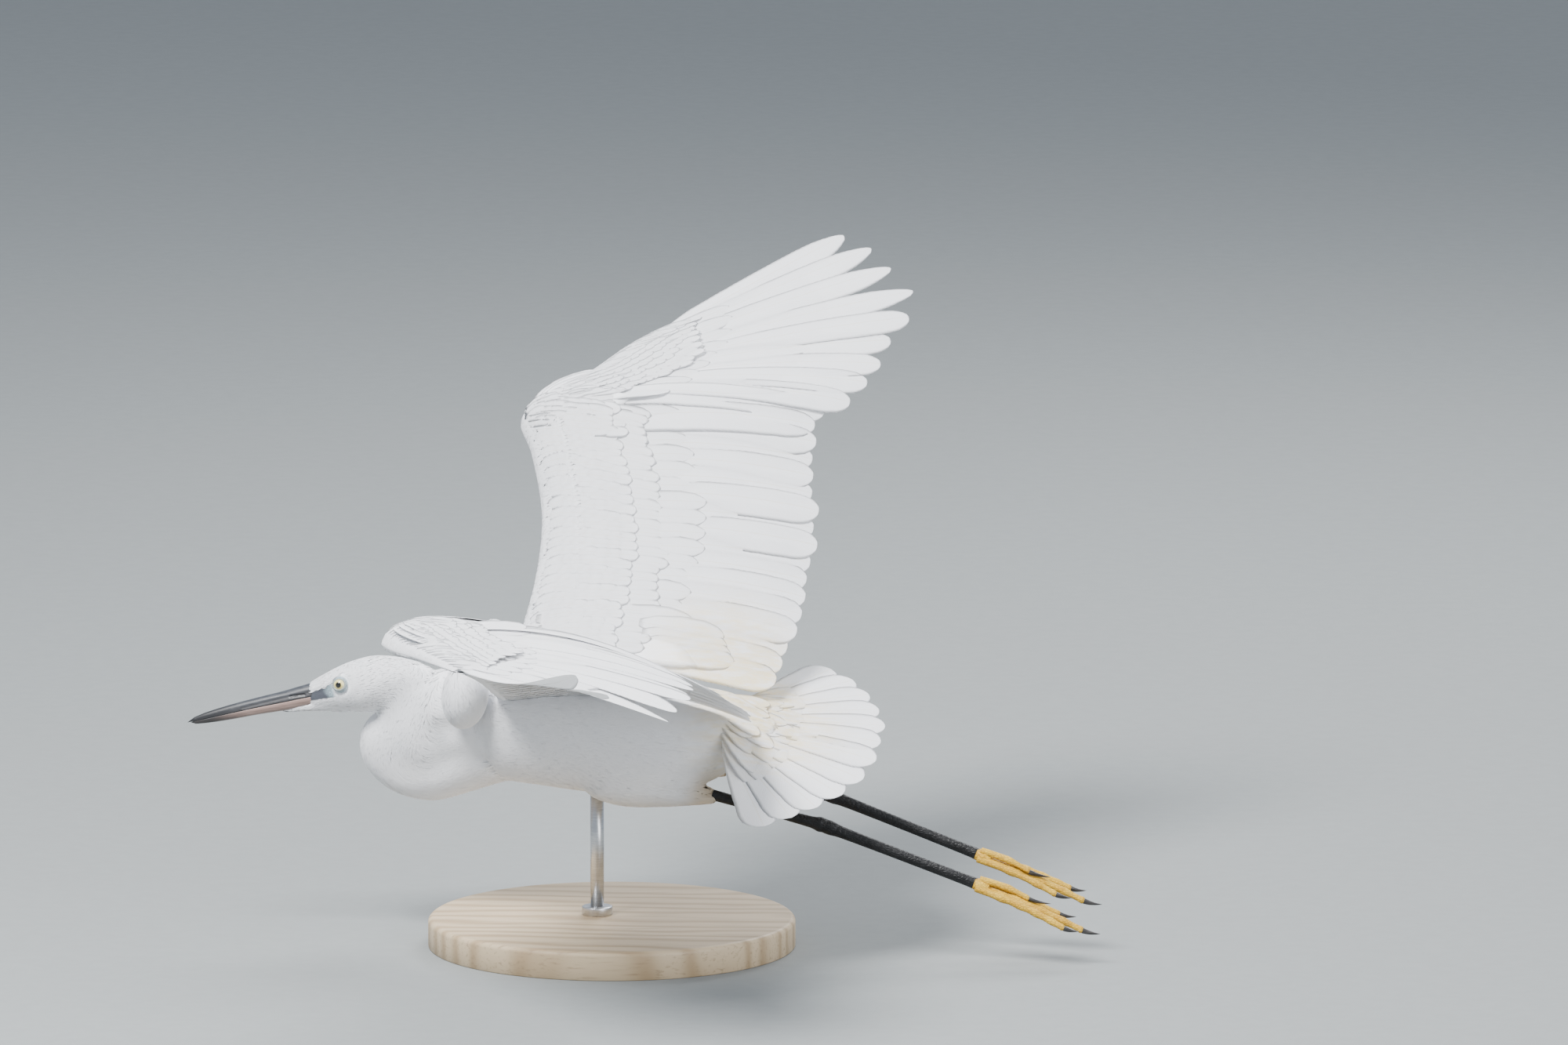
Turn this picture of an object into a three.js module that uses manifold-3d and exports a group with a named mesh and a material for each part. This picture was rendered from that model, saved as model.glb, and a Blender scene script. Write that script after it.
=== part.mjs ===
// Little egret, life size, gliding with raised wings, folded neck and trailing legs, on a display stand.
// Millimetres, +Z up. The origin is the centre of the stand's underside.
// The bird has a frame of its own: x forward along the body, y to the bird's left, z up out of its back.
import * as THREE from "three";
import { mergeVertices } from "three/addons/utils/BufferGeometryUtils.js";
import Module from "manifold-3d";

const wasm = await Module();
wasm.setup();

// Pose
const BODY_HEIGHT = 122; // body centre above the floor
const BODY_TURN = 167.8; // degrees from +X, so the bill points to -X and a little away
const BODY_PITCH = -5.5; // breast raised
const BODY_BANK = -13.5; // left side down
const HEAD_TURN = 172; // the head is held level while the body banks
const HEAD_DIP = 12.2; // bill below the horizon
const HEAD_CENTRE = [137.8, 0, 16.6];
const GAP = 0.3; // between pieces that meet
const GROW = 0.35; // how much larger a piece is made to cut its neighbour clear
const FAR = 1200; // size of a block that cuts away everything on one side of a plane

// Trunk: station along the body, centre height, half width, height above and below the centre
const TRUNK = [
  [86, 1, 9, 9, 10],
  [78, 2, 21, 20, 24],
  [62, 4, 31, 31, 35],
  [40, 6, 35, 36, 37],
  [18, 6.5, 36, 37, 37.5],
  [-6, 7, 35.5, 36.5, 37.5],
  [-30, 8.5, 32.5, 34, 37],
  [-52, 12, 28, 28, 33],
  [-70, 17, 23, 21.5, 26],
  [-86, 20.5, 17, 10.5, 13],
  [-98, 21, 11, 5, 5.5],
];
const TRUNK_NOSE = [91, 1]; // foremost point of the breast inside the neck
const TRUNK_SQUARENESS = 0.93; // power of the oval's sine and cosine; 1 is a plain oval
const RUMP_CUT = -70; // the tail piece takes over here
const TAIL_CORE_TIP = [-106, 21];

// Neck: centre line along the body and height, half width, half depth
const NECK = [
  [117, 27, 9.5, 12],
  [120, 17, 13, 16.5],
  [122, 6, 15.5, 18.8],
  [123.5, -7, 17, 18.2],
  [131, -20, 19, 21.3],
  [124, -31, 20, 20],
  [108, -34.5, 21.5, 18.5],
  [92, -27, 24, 19.5],
  [74, -12, 27, 26],
];
const NECK_SPLITS = [0.33, 0.62]; // upper, middle and lower lengths, as shares of the centre line
const NECK_OVERLAP = 0.04; // by which each length runs on before it is cut square
const NECK_LOOK = 0.03; // how far to each side the direction of the centre line is read

// Head, in its own frame from the middle of the skull: station, centre, half width, up, down
const HEAD = [
  [-29, -2, 6.5, 6.5, 8],
  [-21, -1, 11.5, 10.8, 13],
  [-10, 0, 14.4, 14.8, 16],
  [3, 1, 15.2, 17, 17],
  [14, 1.5, 14.4, 16.2, 16],
  [23, 2, 12.2, 14.2, 14.5],
  [31, 2, 9.8, 12, 12.6],
  [38, 2, 7.6, 9.8, 11],
  [44, 2, 6.2, 7.6, 9.4],
];
const NAPE = [-33, -3];
const FACE_END = [50, 1.6];
// White wedge of feathers under the bill: station, centre height, half width, half depth
const CHIN = [
  [30, -6, 6.5, 5],
  [42, -4.8, 4.6, 3.6],
  [52, -4.4, 3, 2.2],
  [57, -4.4, 1.6, 1.3],
];
const CHIN_TIP = [60, -4.6];
const EYE_CENTRE = [24, 8.7, 6];
const EYE_OUTWARD = [0.16, 1, 0.12];
const EYE_RADIUS = 4.8;
const LID = { radius: 3.75, bead: 0.75, reach: 3.15, stretch: 1.1 };

// Bill: station, centre height of the mouth line, half width, height above and depth below
const BILL = [
  [40, 1.6, 5.0, 7.4, 6.2],
  [50, 1.5, 4.7, 6.6, 5.6],
  [62, 1.2, 4.0, 5.2, 4.8],
  [78, 0.9, 3.2, 4.2, 3.9],
  [94, 0.4, 2.4, 3.4, 3.1],
  [108, -0.1, 1.6, 2.3, 2.0],
  [116, -0.4, 0.9, 1.2, 1.1],
];
const BILL_TIP = [121, -0.6];
const LOWER_BILL_TIP = [119, -0.8];
const BILL_FULLNESS = 0.8; // power of the half oval's sine; less is fuller at the shoulders
// Slots: middle station, distance to the side, height, length, depth, opening, turn in degrees
const NOSTRIL = { x: 52, y: 4.6, z: 4.3, length: 9, wide: 2.4, high: 1.3, turn: 4 };
const MOUTH = { x: 35.5, y: 10.5, z: -0.6, length: 17, wide: 6, high: 0.7, turn: -9 };

// Wing, left side: leading edge from inside the trunk to just past the wrist
const LEADING = [
  [66, 18, 26],
  [67, 40, 41],
  [67, 73, 63],
  [73, 110, 86],
  [89, 146, 109],
  [101, 166, 121],
  [92, 186, 128],
];
// Feather tips of the arm, from the innermost tertial to the outermost secondary
const ARM_TIPS = [
  [-90, 30, 39],
  [-93, 46, 48],
  [-95, 72, 64.5],
  [-94, 98, 81],
  [-90, 127, 100],
  [-80, 156, 119],
  [-75, 183, 136],
];
// Leading edge of the hand, from just inside the wrist to the tip
const HAND_LEADING = [
  [89, 146, 109],
  [101, 166, 121],
  [92, 186, 128],
  [73, 207, 135],
  [52, 238, 146.5],
  [27, 267, 156],
  [-19, 313, 173],
  [-50, 350, 186],
];
// The same number of places along the hand's trailing edge
const HAND_TRAILING = [
  [-80, 160, 121],
  [-75, 188, 137],
  [-82, 200, 141],
  [-92, 218, 147],
  [-101, 250, 157],
  [-106, 284, 168],
  [-86, 325, 180],
  [-52, 350, 186],
];
// Tips of the ten primaries, innermost first
const PRIMARY_TIPS = [
  [-77, 195, 139.5],
  [-90, 207, 143],
  [-96, 225, 149],
  [-100, 242, 154.5],
  [-101, 263, 161],
  [-107, 284, 168],
  [-104, 307, 175],
  [-86, 325, 180],
  [-70, 341, 184],
  [-51, 350, 186],
];
// The near wing's tip is twisted a little more than the far one's: outermost primaries, innermost first
const LEFT_TIP_SHIFT = [
  [-1, -3, -6],
  [-18, -7, -11],
  [-2, -5, 5],
  [-4, -5, 17],
];
const ARM_NORMAL = new THREE.Vector3(0.016, -0.54, 0.842);
const HAND_NORMAL = new THREE.Vector3(0.046, -0.299, 0.953);
const WRIST_CUT = { point: [98, 164, 120], tip: [-74, 188.5, 137.2] };
const ARCH = { root: 13, wrist: 17.5, tip: 3 }; // height of the wing's arch over its chord
const SHOULDER = { centre: [79, 32, 29.5], radii: [17, 21, 19] }; // feathered front of the folded-back arm

// Fleshy front of the wing: millimetres behind the leading edge, height above and below the arched chord
const WING_CORE = [
  [0, 0, 0],
  [6, 6.2, -4.4],
  [20, 8, -5.4],
  [40, 5.6, -3.8],
  [56, 3.2, -2.2],
];
// Share along the edge, depth of the core behind it, share of its full thickness
const ARM_CORE = [
  [0, 112, 1.1],
  [0.08, 104, 1.1],
  [0.16, 84, 1.05],
  [0.25, 66, 1],
  [0.42, 57, 1],
  [0.62, 55, 1.25],
  [0.83, 60, 1.3],
  [1, 60, 1.25],
];
const HAND_CORE = [
  [0, 60, 1.25],
  [0.143, 60, 1.3],
  [0.29, 42, 1],
  [0.43, 34, 0.74],
  [0.57, 25, 0.62],
  [0.66, 13, 0.5],
];
const WING_CORE_DEPTH = 56;

// Feather vanes: share of the length, share of the full width
const ROUND_VANE = [
  [0, 0.3],
  [0.3, 0.85],
  [0.7, 1],
  [0.94, 0.8],
  [1, 0.24],
];
const FINGER_VANE = [
  [0, 0.3],
  [0.3, 0.95],
  [0.78, 0.95],
  [0.91, 0.62],
  [1, 0.16],
];
const COVERT_VANE = [
  [0, 0.6],
  [0.72, 1],
  [1, 0.34],
];
const TAIL_VANE = [
  [0, 0.14],
  [0.5, 0.57],
  [0.88, 0.92],
  [1, 0.34],
];
const VANE_THICKNESS = 0.6;
const VANE_LIFT = 1.05; // each vane's outer edge is raised, and its inner edge lowered, by this
const TIER = 2.95; // height of a tier of coverts over the vanes that it covers

// Tiers of coverts: number, first and last place along the wing as a share, then from where to where
// along the flight feather that each follows, height over it and half widths
const SECONDARIES = { count: 12, outer: 10.5, inner: 15 };
const ARM_TIERS = [
  { count: 8, first: 0.15, last: 0.94, from: 0.03, to: 0.5, height: TIER, outer: 10, inner: 12 },
  { count: 6, first: 0.17, last: 0.9, from: -0.04, to: 0.25, height: 1.95 * TIER, outer: 10, inner: 12 },
  { count: 4, first: 0.15, last: 0.94, from: 0.06, to: 0.42, height: -TIER, outer: 14, inner: 15 },
];
const PRIMARIES = { count: 10, outer: 8.5, inner: 13.5, fingers: 4, fingerOuter: 6.5, fingerInner: 12 };
const HAND_TIERS = [
  { count: 6, first: 0, last: 0.75, from: 0.03, to: 0.38, height: TIER, outer: 7, inner: 9 },
  { count: 3, first: 0.04, last: 0.46, from: 0.02, to: 0.2, height: 1.9 * TIER, outer: 8, inner: 9 },
  { count: 4, first: 0.04, last: 0.6, from: 0.05, to: 0.31, height: -TIER, outer: 8, inner: 9 },
];
const ALULA = { lengths: [50, 40], root: 0.19, end: 0.46, behind: 12, rootStep: 4, endStep: 8, height: 6 };
const ALULA_VANE = { outer: 4.2, inner: 5.4, lift: 0.7 };
const SCAPULARS = { count: 3, first: 0.06, step: 0.045, from: 56, to: 134, shorter: 6, height: 4.6 };
const SCAPULAR_VANE = { outer: 9, inner: 11, arch: 1.5 };
// Roots of the flight feathers: shares along the wing's edge, and millimetres behind it
const ARM_ROOTS = { first: 0.13, last: 0.765, behind: 20, swell: 13 };
const HAND_ROOTS = { first: 0.2, last: 0.57, behind: 22, behindTip: 9 };
const PRIMARY_ARCH = [11, 1]; // innermost and outermost primary, over its own chord
const ARM_CHORD = 160;
const CURL_POWER = 4.5; // how late along its length a fingertip bends
const UNEVEN = 0.008; // share of a feather's length by which it may be longer or shorter

// Legs, left side, in the bird's frame; the right one differs a little, as the bird holds it
const LEGS = [
  {
    side: 1,
    name: "left",
    tuft: [-68, 18, -17.5],
    ankle: [-133, 18, -27],
    heel: [-228.6, 18, -51.8],
  },
  {
    side: -1,
    name: "right",
    tuft: [-66, -18, -16.5],
    ankle: [-126.5, -18, -23.8],
    heel: [-221.6, -18, -50.2],
  },
];
const KNEE = [12, 23, -11];
const THIGH = [
  [0, 6, 9],
  [0.14, 11.5, 15.5],
  [0.35, 12.5, 17],
  [0.6, 10.5, 13.5],
  [0.82, 7.6, 9.2],
  [1, 4.6, 5.4],
]; // share of the way from knee to tuft, half width, half depth
const TIBIA = [
  [0, 2.9, 3.2],
  [0.5, 2.6, 3.0],
  [0.86, 2.9, 3.4],
  [0.95, 3.7, 4.5],
  [1, 3.3, 4.1],
];
const TARSUS = [
  [0, 3.3, 4.0],
  [0.06, 3.6, 4.3],
  [0.16, 2.7, 3.5],
  [0.55, 2.5, 3.2],
  [0.9, 2.6, 3.3],
  [1, 3.0, 3.6],
];
const LEG_JOINTS = { tibiaStart: 0.9, tarsusStart: 0.9, tarsusEnd: -3, footStart: -2.7, footEnd: 4 };
const FOOT_HUB = [
  [0, 3.1, 3.5],
  [0.5, 4.4, 4.0],
  [1, 3.6, 3.2],
];
const TOE_DIP = 16.3; // degrees below the body's long axis
const TOE_SHAPE = { back: -2, bow: 1.6, taper: 0.62, pad: 1.08, waist: 0.86 };
const CLAW_SHAPE = { base: 0.56, taper: 0.75, bend: 1.8, tipBend: 2.4, flat: 0.8 };
// Toes: name, length, sideways start, sideways spread in degrees, lift at the start, claw length, radius
const TOES = [
  { name: "inner", length: 50, start: -2.6, spread: -5, lift: -1.2, claw: 8, radius: 2.5 },
  { name: "middle", length: 66, start: 0, spread: 0, lift: -1.6, claw: 9, radius: 2.7 },
  { name: "outer", length: 56, start: 2.6, spread: 5, lift: -1.2, claw: 7.5, radius: 2.5 },
  { name: "hind", length: 30, start: -0.6, spread: -2, lift: 3.2, claw: 11.5, radius: 2.2 },
];

// Tail: fan of feathers from the rump
const TAIL_PIVOT = [-63, 21];
const TAIL_SPREAD = 58; // degrees to each side
const TAIL_LENGTH = 98;
const TAIL_ROLL = 10;
const TAIL_DROOP = [0.05, 0.06]; // slope of the central feather, and how much more the outermost one has
const TAIL_ROOT_WIDTH = 8;
const TAIL_ROUNDING = 6; // by how much the outermost feather is shorter
const TAIL_UNEVEN = 1.5;
const RECTRICES = { count: 12, half: 10.6, lift: 0.5, root: 9.5 };
// Coverts over and under the fan: count, reach to each side in degrees, from and to along the feather
const TAIL_COVERTS = [
  { count: 7, spread: 44, from: 18, to: 60, height: 2.7, half: 8 },
  { count: 4, spread: 30, from: 18, to: 54, height: -2.4, half: 8.5 },
];

// Stand
const BASE_RADIUS = 108;
const BASE_THICKNESS = 17;
const BASE_EDGE = 3;
const ROD_RADIUS = 4;
const ROD_AT = [8, 0, -20]; // where the rod's axis enters the belly, in the bird's frame
const COLLAR_RADIUS = 9;
const COLLAR_HEIGHT = 5;

// Colours
const WHITE = { color: 0xf3f4f6, roughness: 0.85, metalness: 0 };
const FLIGHT_WHITE = { color: 0xf6f7fa, roughness: 0.75, metalness: 0 };
const SLATE = { color: 0x2f3136, roughness: 0.38, metalness: 0 };
const HORN = { color: 0x6d5f5b, roughness: 0.42, metalness: 0 };
const LEG_BLACK = { color: 0x17181a, roughness: 0.5, metalness: 0 };
const TOE_YELLOW = { color: 0xc9a637, roughness: 0.6, metalness: 0 };
const CLAW_BLACK = { color: 0x1d1b1a, roughness: 0.35, metalness: 0 };
const IRIS_YELLOW = { color: 0xd8cf86, roughness: 0.1, metalness: 0 };
const ASH_WOOD = { color: 0xcdb892, roughness: 0.55, metalness: 0 };
const STEEL = { color: 0xb9bcc0, roughness: 0.3, metalness: 1 };

const rad = THREE.MathUtils.degToRad;
const vec = (x, y, z) => new THREE.Vector3(x, y, z);
const lerp = THREE.MathUtils.lerp;
const SIDEWAYS = vec(0, 1, 0);
const UPWARD = vec(0, 0, 1);
const mirrored = ([x, y, z], side) => vec(x, side * y, z);

// A closed surface from points and triangles, turned to face outwards
function closedSurface(points, triangles) {
  let volume = 0;
  const normal = vec(0, 0, 0);
  for (const [a, b, c] of triangles) {
    normal.crossVectors(points[b], points[c]);
    volume += points[a].dot(normal);
  }
  const facing = volume < 0 ? triangles.map(([a, b, c]) => [a, c, b]) : triangles;
  const geometry = new THREE.BufferGeometry().setFromPoints(points);
  geometry.setIndex(facing.flat());
  return geometry;
}

// A closed loft through rings of equal count; each end is closed by a fan to a point
function loft(rings, startPoint, endPoint) {
  const count = rings[0].length;
  const points = rings.flat();
  const triangles = [];
  for (let r = 0; r + 1 < rings.length; r += 1) {
    for (let k = 0; k < count; k += 1) {
      const a = r * count + k;
      const b = r * count + ((k + 1) % count);
      triangles.push([a, b, b + count], [a, b + count, a + count]);
    }
  }
  const centre = (ring) => ring.reduce((sum, p) => sum.add(p), vec(0, 0, 0)).divideScalar(count);
  const first = points.push(startPoint ?? centre(rings[0])) - 1;
  const last = points.push(endPoint ?? centre(rings.at(-1))) - 1;
  const lastRing = (rings.length - 1) * count;
  for (let k = 0; k < count; k += 1) {
    const next = (k + 1) % count;
    triangles.push([first, next, k], [last, lastRing + k, lastRing + next]);
  }
  return closedSurface(points, triangles);
}

// A ring round a centre: half width along one axis, different heights above and below along the other
function oval(centre, across, above, halfWidth, up, down, count, power = 1) {
  const ring = [];
  for (let k = 0; k < count; k += 1) {
    const angle = (2 * Math.PI * (k + 0.5)) / count;
    const c = Math.sign(Math.cos(angle)) * Math.abs(Math.cos(angle)) ** power;
    const s = Math.sign(Math.sin(angle)) * Math.abs(Math.sin(angle)) ** power;
    ring.push(
      centre
        .clone()
        .addScaledVector(across, halfWidth * c)
        .addScaledVector(above, (s > 0 ? up : down) * s),
    );
  }
  return ring;
}

// Smooth rows of numbers between the rows given, by a Catmull-Rom curve through them
function smoothRows(rows, count, from = 0, to = 1) {
  const at = (i, j) => rows[Math.min(Math.max(i, 0), rows.length - 1)][j];
  const made = [];
  for (let s = 0; s < count; s += 1) {
    const place = lerp(from, to, s / (count - 1)) * (rows.length - 1);
    const i = Math.min(Math.floor(place), rows.length - 2);
    const t = place - i;
    made.push(
      rows[0].map((_, j) => {
        const [a, b, c, d] = [at(i - 1, j), at(i, j), at(i + 1, j), at(i + 2, j)];
        return b + 0.5 * t * (c - a + t * (2 * a - 5 * b + 4 * c - d + t * (3 * (b - c) + d - a)));
      }),
    );
  }
  return made;
}

// A straight tube of oval section; rows give share of the way, half width and half depth
function limb(start, end, rows, count, stations) {
  const axis = end.clone().sub(start).normalize();
  const across = vec(0, 1, 0).cross(axis).cross(axis).negate().normalize();
  const above = axis.clone().cross(across).normalize();
  if (above.z < 0) above.negate();
  const rings = smoothRows(rows, stations).map(([share, wide, deep]) => {
    return oval(start.clone().lerp(end, share), across, above, wide, deep, deep, count);
  });
  return loft(rings);
}

// Solids that join and cut one another
function solid(geometry) {
  const bare = new THREE.BufferGeometry();
  bare.setAttribute("position", geometry.getAttribute("position"));
  bare.setIndex(geometry.index);
  const merged = mergeVertices(bare, 1e-4);
  return new wasm.Manifold(
    new wasm.Mesh({
      numProp: 3,
      vertProperties: merged.getAttribute("position").array,
      triVerts: new Uint32Array(merged.index.array),
    }),
  );
}

function surface(body) {
  const mesh = body.getMesh();
  const geometry = new THREE.BufferGeometry();
  geometry.setAttribute("position", new THREE.BufferAttribute(mesh.vertProperties, 3));
  geometry.setIndex(new THREE.BufferAttribute(mesh.triVerts, 1));
  return geometry;
}

const joined = (geometries) => geometries.map(solid).reduce((whole, piece) => whole.add(piece));
const largest = (body) => body.decompose().sort((a, b) => b.volume() - a.volume())[0];

// A slab far larger than the bird, on the side of a plane that its normal points away from
function halfSpace(point, normal, shift = 0) {
  const box = new THREE.BoxGeometry(FAR, FAR, FAR);
  box.translate(0, 0, -FAR / 2 + shift);
  box.applyQuaternion(new THREE.Quaternion().setFromUnitVectors(UPWARD, normal.clone().normalize()));
  box.translate(point.x, point.y, point.z);
  return solid(box);
}

// Trunk and tail core are one smooth form that is parted at the rump
function trunkForm(grow = 0) {
  const rings = smoothRows(TRUNK, 16).map(([x, z, wide, up, down]) =>
    oval(vec(x, 0, z), SIDEWAYS, UPWARD, wide + grow, up + grow, down + grow, 18, TRUNK_SQUARENESS),
  );
  const nose = vec(TRUNK_NOSE[0] + grow, 0, TRUNK_NOSE[1]);
  return loft(rings, nose, vec(TAIL_CORE_TIP[0] - grow, 0, TAIL_CORE_TIP[1]));
}

function neckForm(grow = 0, from = 0, to = 1, stations = 14) {
  const rows = smoothRows(NECK, stations, from, to);
  const rings = rows.map(([x, z, wide, deep], i) => {
    const [ax, az] = rows[Math.max(i - 1, 0)];
    const [bx, bz] = rows[Math.min(i + 1, rows.length - 1)];
    const along = vec(bx - ax, 0, bz - az).normalize();
    const above = along.clone().cross(SIDEWAYS);
    return oval(vec(x, 0, z), SIDEWAYS, above, wide + grow, deep + grow, deep + grow, 18);
  });
  return loft(rings);
}

// Where the neck is parted: a plane across the centre line
function neckPlane(share) {
  const [before, here, after] = smoothRows(NECK, 3, share - NECK_LOOK, share + NECK_LOOK);
  return { point: vec(here[0], 0, here[1]), normal: vec(after[0] - before[0], 0, after[1] - before[1]) };
}

// Head with lids, mouth line and the wedge of chin feathers, in the head's frame
function headForm(grow = 0) {
  const rings = smoothRows(HEAD, 11).map(([x, z, wide, up, down]) =>
    oval(vec(x, 0, z), SIDEWAYS, UPWARD, wide + grow, up + grow, down + grow, 18),
  );
  return loft(rings, vec(NAPE[0] - grow, 0, NAPE[1]), vec(FACE_END[0] + grow, 0, FACE_END[1]));
}

function chinForm(grow = 0) {
  const rings = CHIN.map(([x, z, wide, deep]) =>
    oval(vec(x, 0, z), SIDEWAYS, UPWARD, wide + grow, deep + grow, deep + grow, 12),
  );
  return loft(rings, undefined, vec(CHIN_TIP[0] + grow, 0, CHIN_TIP[1]));
}

const eyeball = (side, grow = 0) => {
  const ball = new THREE.SphereGeometry(EYE_RADIUS + grow, 14, 9);
  ball.rotateX(Math.PI / 2);
  return closeSeam(ball).translate(EYE_CENTRE[0], side * EYE_CENTRE[1], EYE_CENTRE[2]);
};

// The classes of the library leave doubled points along a seam; this merges them
function closeSeam(geometry) {
  const bare = new THREE.BufferGeometry();
  bare.setAttribute("position", geometry.getAttribute("position"));
  bare.setIndex(geometry.index);
  return mergeVertices(bare, 1e-4);
}

function lid(side) {
  const bead = closeSeam(new THREE.TorusGeometry(LID.radius, LID.bead, 5, 14));
  const outward = mirrored(EYE_OUTWARD, side).normalize();
  const centre = mirrored(EYE_CENTRE, side).addScaledVector(outward, LID.reach);
  bead.scale(LID.stretch, 1, 1);
  bead.applyQuaternion(new THREE.Quaternion().setFromUnitVectors(vec(0, 0, side), outward));
  return bead.translate(centre.x, centre.y, centre.z);
}

// Upper and lower halves of the bill: one half of an oval above or below the mouth line
function billHalf(isUpper, grow = 0) {
  const tip = isUpper ? BILL_TIP : LOWER_BILL_TIP;
  const rows = smoothRows(BILL, 11).filter(([x]) => x < tip[0] - 1);
  const count = 9;
  const rings = rows.map(([x, z, wide, up, down]) => {
    const ring = [];
    for (let k = 0; k < count; k += 1) {
      const angle = (Math.PI * k) / (count - 1);
      const height = (isUpper ? up : -down) * Math.sin(angle) ** BILL_FULLNESS;
      const mouth = isUpper ? GAP / 2 - grow : -GAP / 2 + grow;
      ring.push(vec(x, (wide + grow) * Math.cos(angle), z + mouth + height + Math.sign(height) * grow));
    }
    return ring;
  });
  return loft(rings, undefined, vec(tip[0], 0, tip[1] + (isUpper ? 0.2 : -0.2)));
}

function slot({ x, y, z, length, wide, high, turn }, side) {
  const box = new THREE.BoxGeometry(length, wide, high);
  box.rotateY(rad(turn));
  return box.translate(x, side * y, z);
}

// Seeded draws, so that feathers vary a little and always alike
let seed = 20903;
function draw(low, high) {
  seed = (seed * 1664525 + 1013904223) % 4294967296;
  return lerp(low, high, seed / 4294967296);
}

// One feather vane: a thin tapered plate along a line, both faces split along the same diagonals
function vane(lineAt, from, to, shape, size) {
  const points = [];
  const { outer, inner, outward, normal, height = 0, lift = VANE_LIFT } = size;
  for (const [share, width] of shape) {
    const t = lerp(from, to, share);
    const centre = lineAt(t);
    const along = lineAt(t + 0.01).sub(lineAt(t - 0.01)).normalize();
    const up = normal.clone().addScaledVector(along, -normal.dot(along)).normalize();
    const out = outward.clone().addScaledVector(along, -outward.dot(along));
    out.addScaledVector(up, -out.dot(up)).normalize();
    const half = VANE_THICKNESS * lerp(0.5, 0.42, share);
    const at = (side, face) =>
      centre
        .clone()
        .addScaledVector(out, side > 0 ? outer * width : -inner * width)
        .addScaledVector(up, height + side * lift + face * half);
    points.push(at(1, 1), at(-1, 1), at(-1, -1), at(1, -1));
  }
  const triangles = [[0, 2, 1], [0, 3, 2]];
  const last = points.length - 4;
  triangles.push([last, last + 1, last + 2], [last, last + 2, last + 3]);
  for (let a = 0; a < last; a += 4) {
    triangles.push([a, a + 1, a + 5], [a, a + 5, a + 4]);
    triangles.push([a + 3, a + 6, a + 2], [a + 3, a + 7, a + 6]);
    triangles.push([a + 1, a + 2, a + 6], [a + 1, a + 6, a + 5]);
    triangles.push([a + 3, a, a + 4], [a + 3, a + 4, a + 7]);
  }
  return closedSurface(points, triangles);
}

// A feather's line from root to tip, arched along a normal; shares past either end go on along it
function featherLine(root, tip, normal, arch) {
  return (t) => root.clone().lerp(tip, t).addScaledVector(normal, 4 * arch * t * (1 - t));
}

const blend = (a, b, share) => a.clone().lerp(b, share).normalize();

function edge(points, side) {
  return new THREE.CatmullRomCurve3(points.map((point) => mirrored(point, side)), false, "centripetal");
}

// Places on the arched wing: share along the edge, millimetres behind it, height over the arched chord
function wingSurface(leading, trailing, normalAt, archAt, side) {
  const front = edge(leading, side);
  const back = edge(trailing, side);
  const up = (share) => mirrored(normalAt(share).toArray(), side);
  const at = (share, behind, height) => {
    const a = front.getPoint(share);
    const b = back.getPoint(share);
    const c = behind / a.distanceTo(b);
    return a.lerp(b, c).addScaledVector(up(share), 4 * archAt(share) * c * (1 - c) + height);
  };
  return { at, up };
}

function armSurface(side) {
  const turn = (share) => blend(ARM_NORMAL, HAND_NORMAL, Math.max(0, share - 0.6));
  const arch = (share) => lerp(ARCH.root, ARCH.wrist, Math.min(share / 0.83, 1));
  return wingSurface(LEADING, ARM_TIPS, turn, arch, side);
}

function handSurface(side) {
  const arch = (share) => lerp(ARCH.wrist, ARCH.tip, share);
  return wingSurface(HAND_LEADING, HAND_TRAILING, () => HAND_NORMAL, arch, side);
}

function wingCore(wing, table, stations) {
  const rings = smoothRows(table, stations).map(([share, depth, size]) => {
    const at = (behind, height) => wing.at(share, (behind * depth) / WING_CORE_DEPTH, height * size);
    const top = WING_CORE.map(([behind, above]) => at(behind, above));
    const bottom = WING_CORE.slice(1).reverse().map(([behind, , below]) => at(behind, below));
    return [...top, ...bottom];
  });
  return loft(rings);
}

const fingerShare = (PRIMARIES.count - PRIMARIES.fingers) / (PRIMARIES.count - 1);

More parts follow.
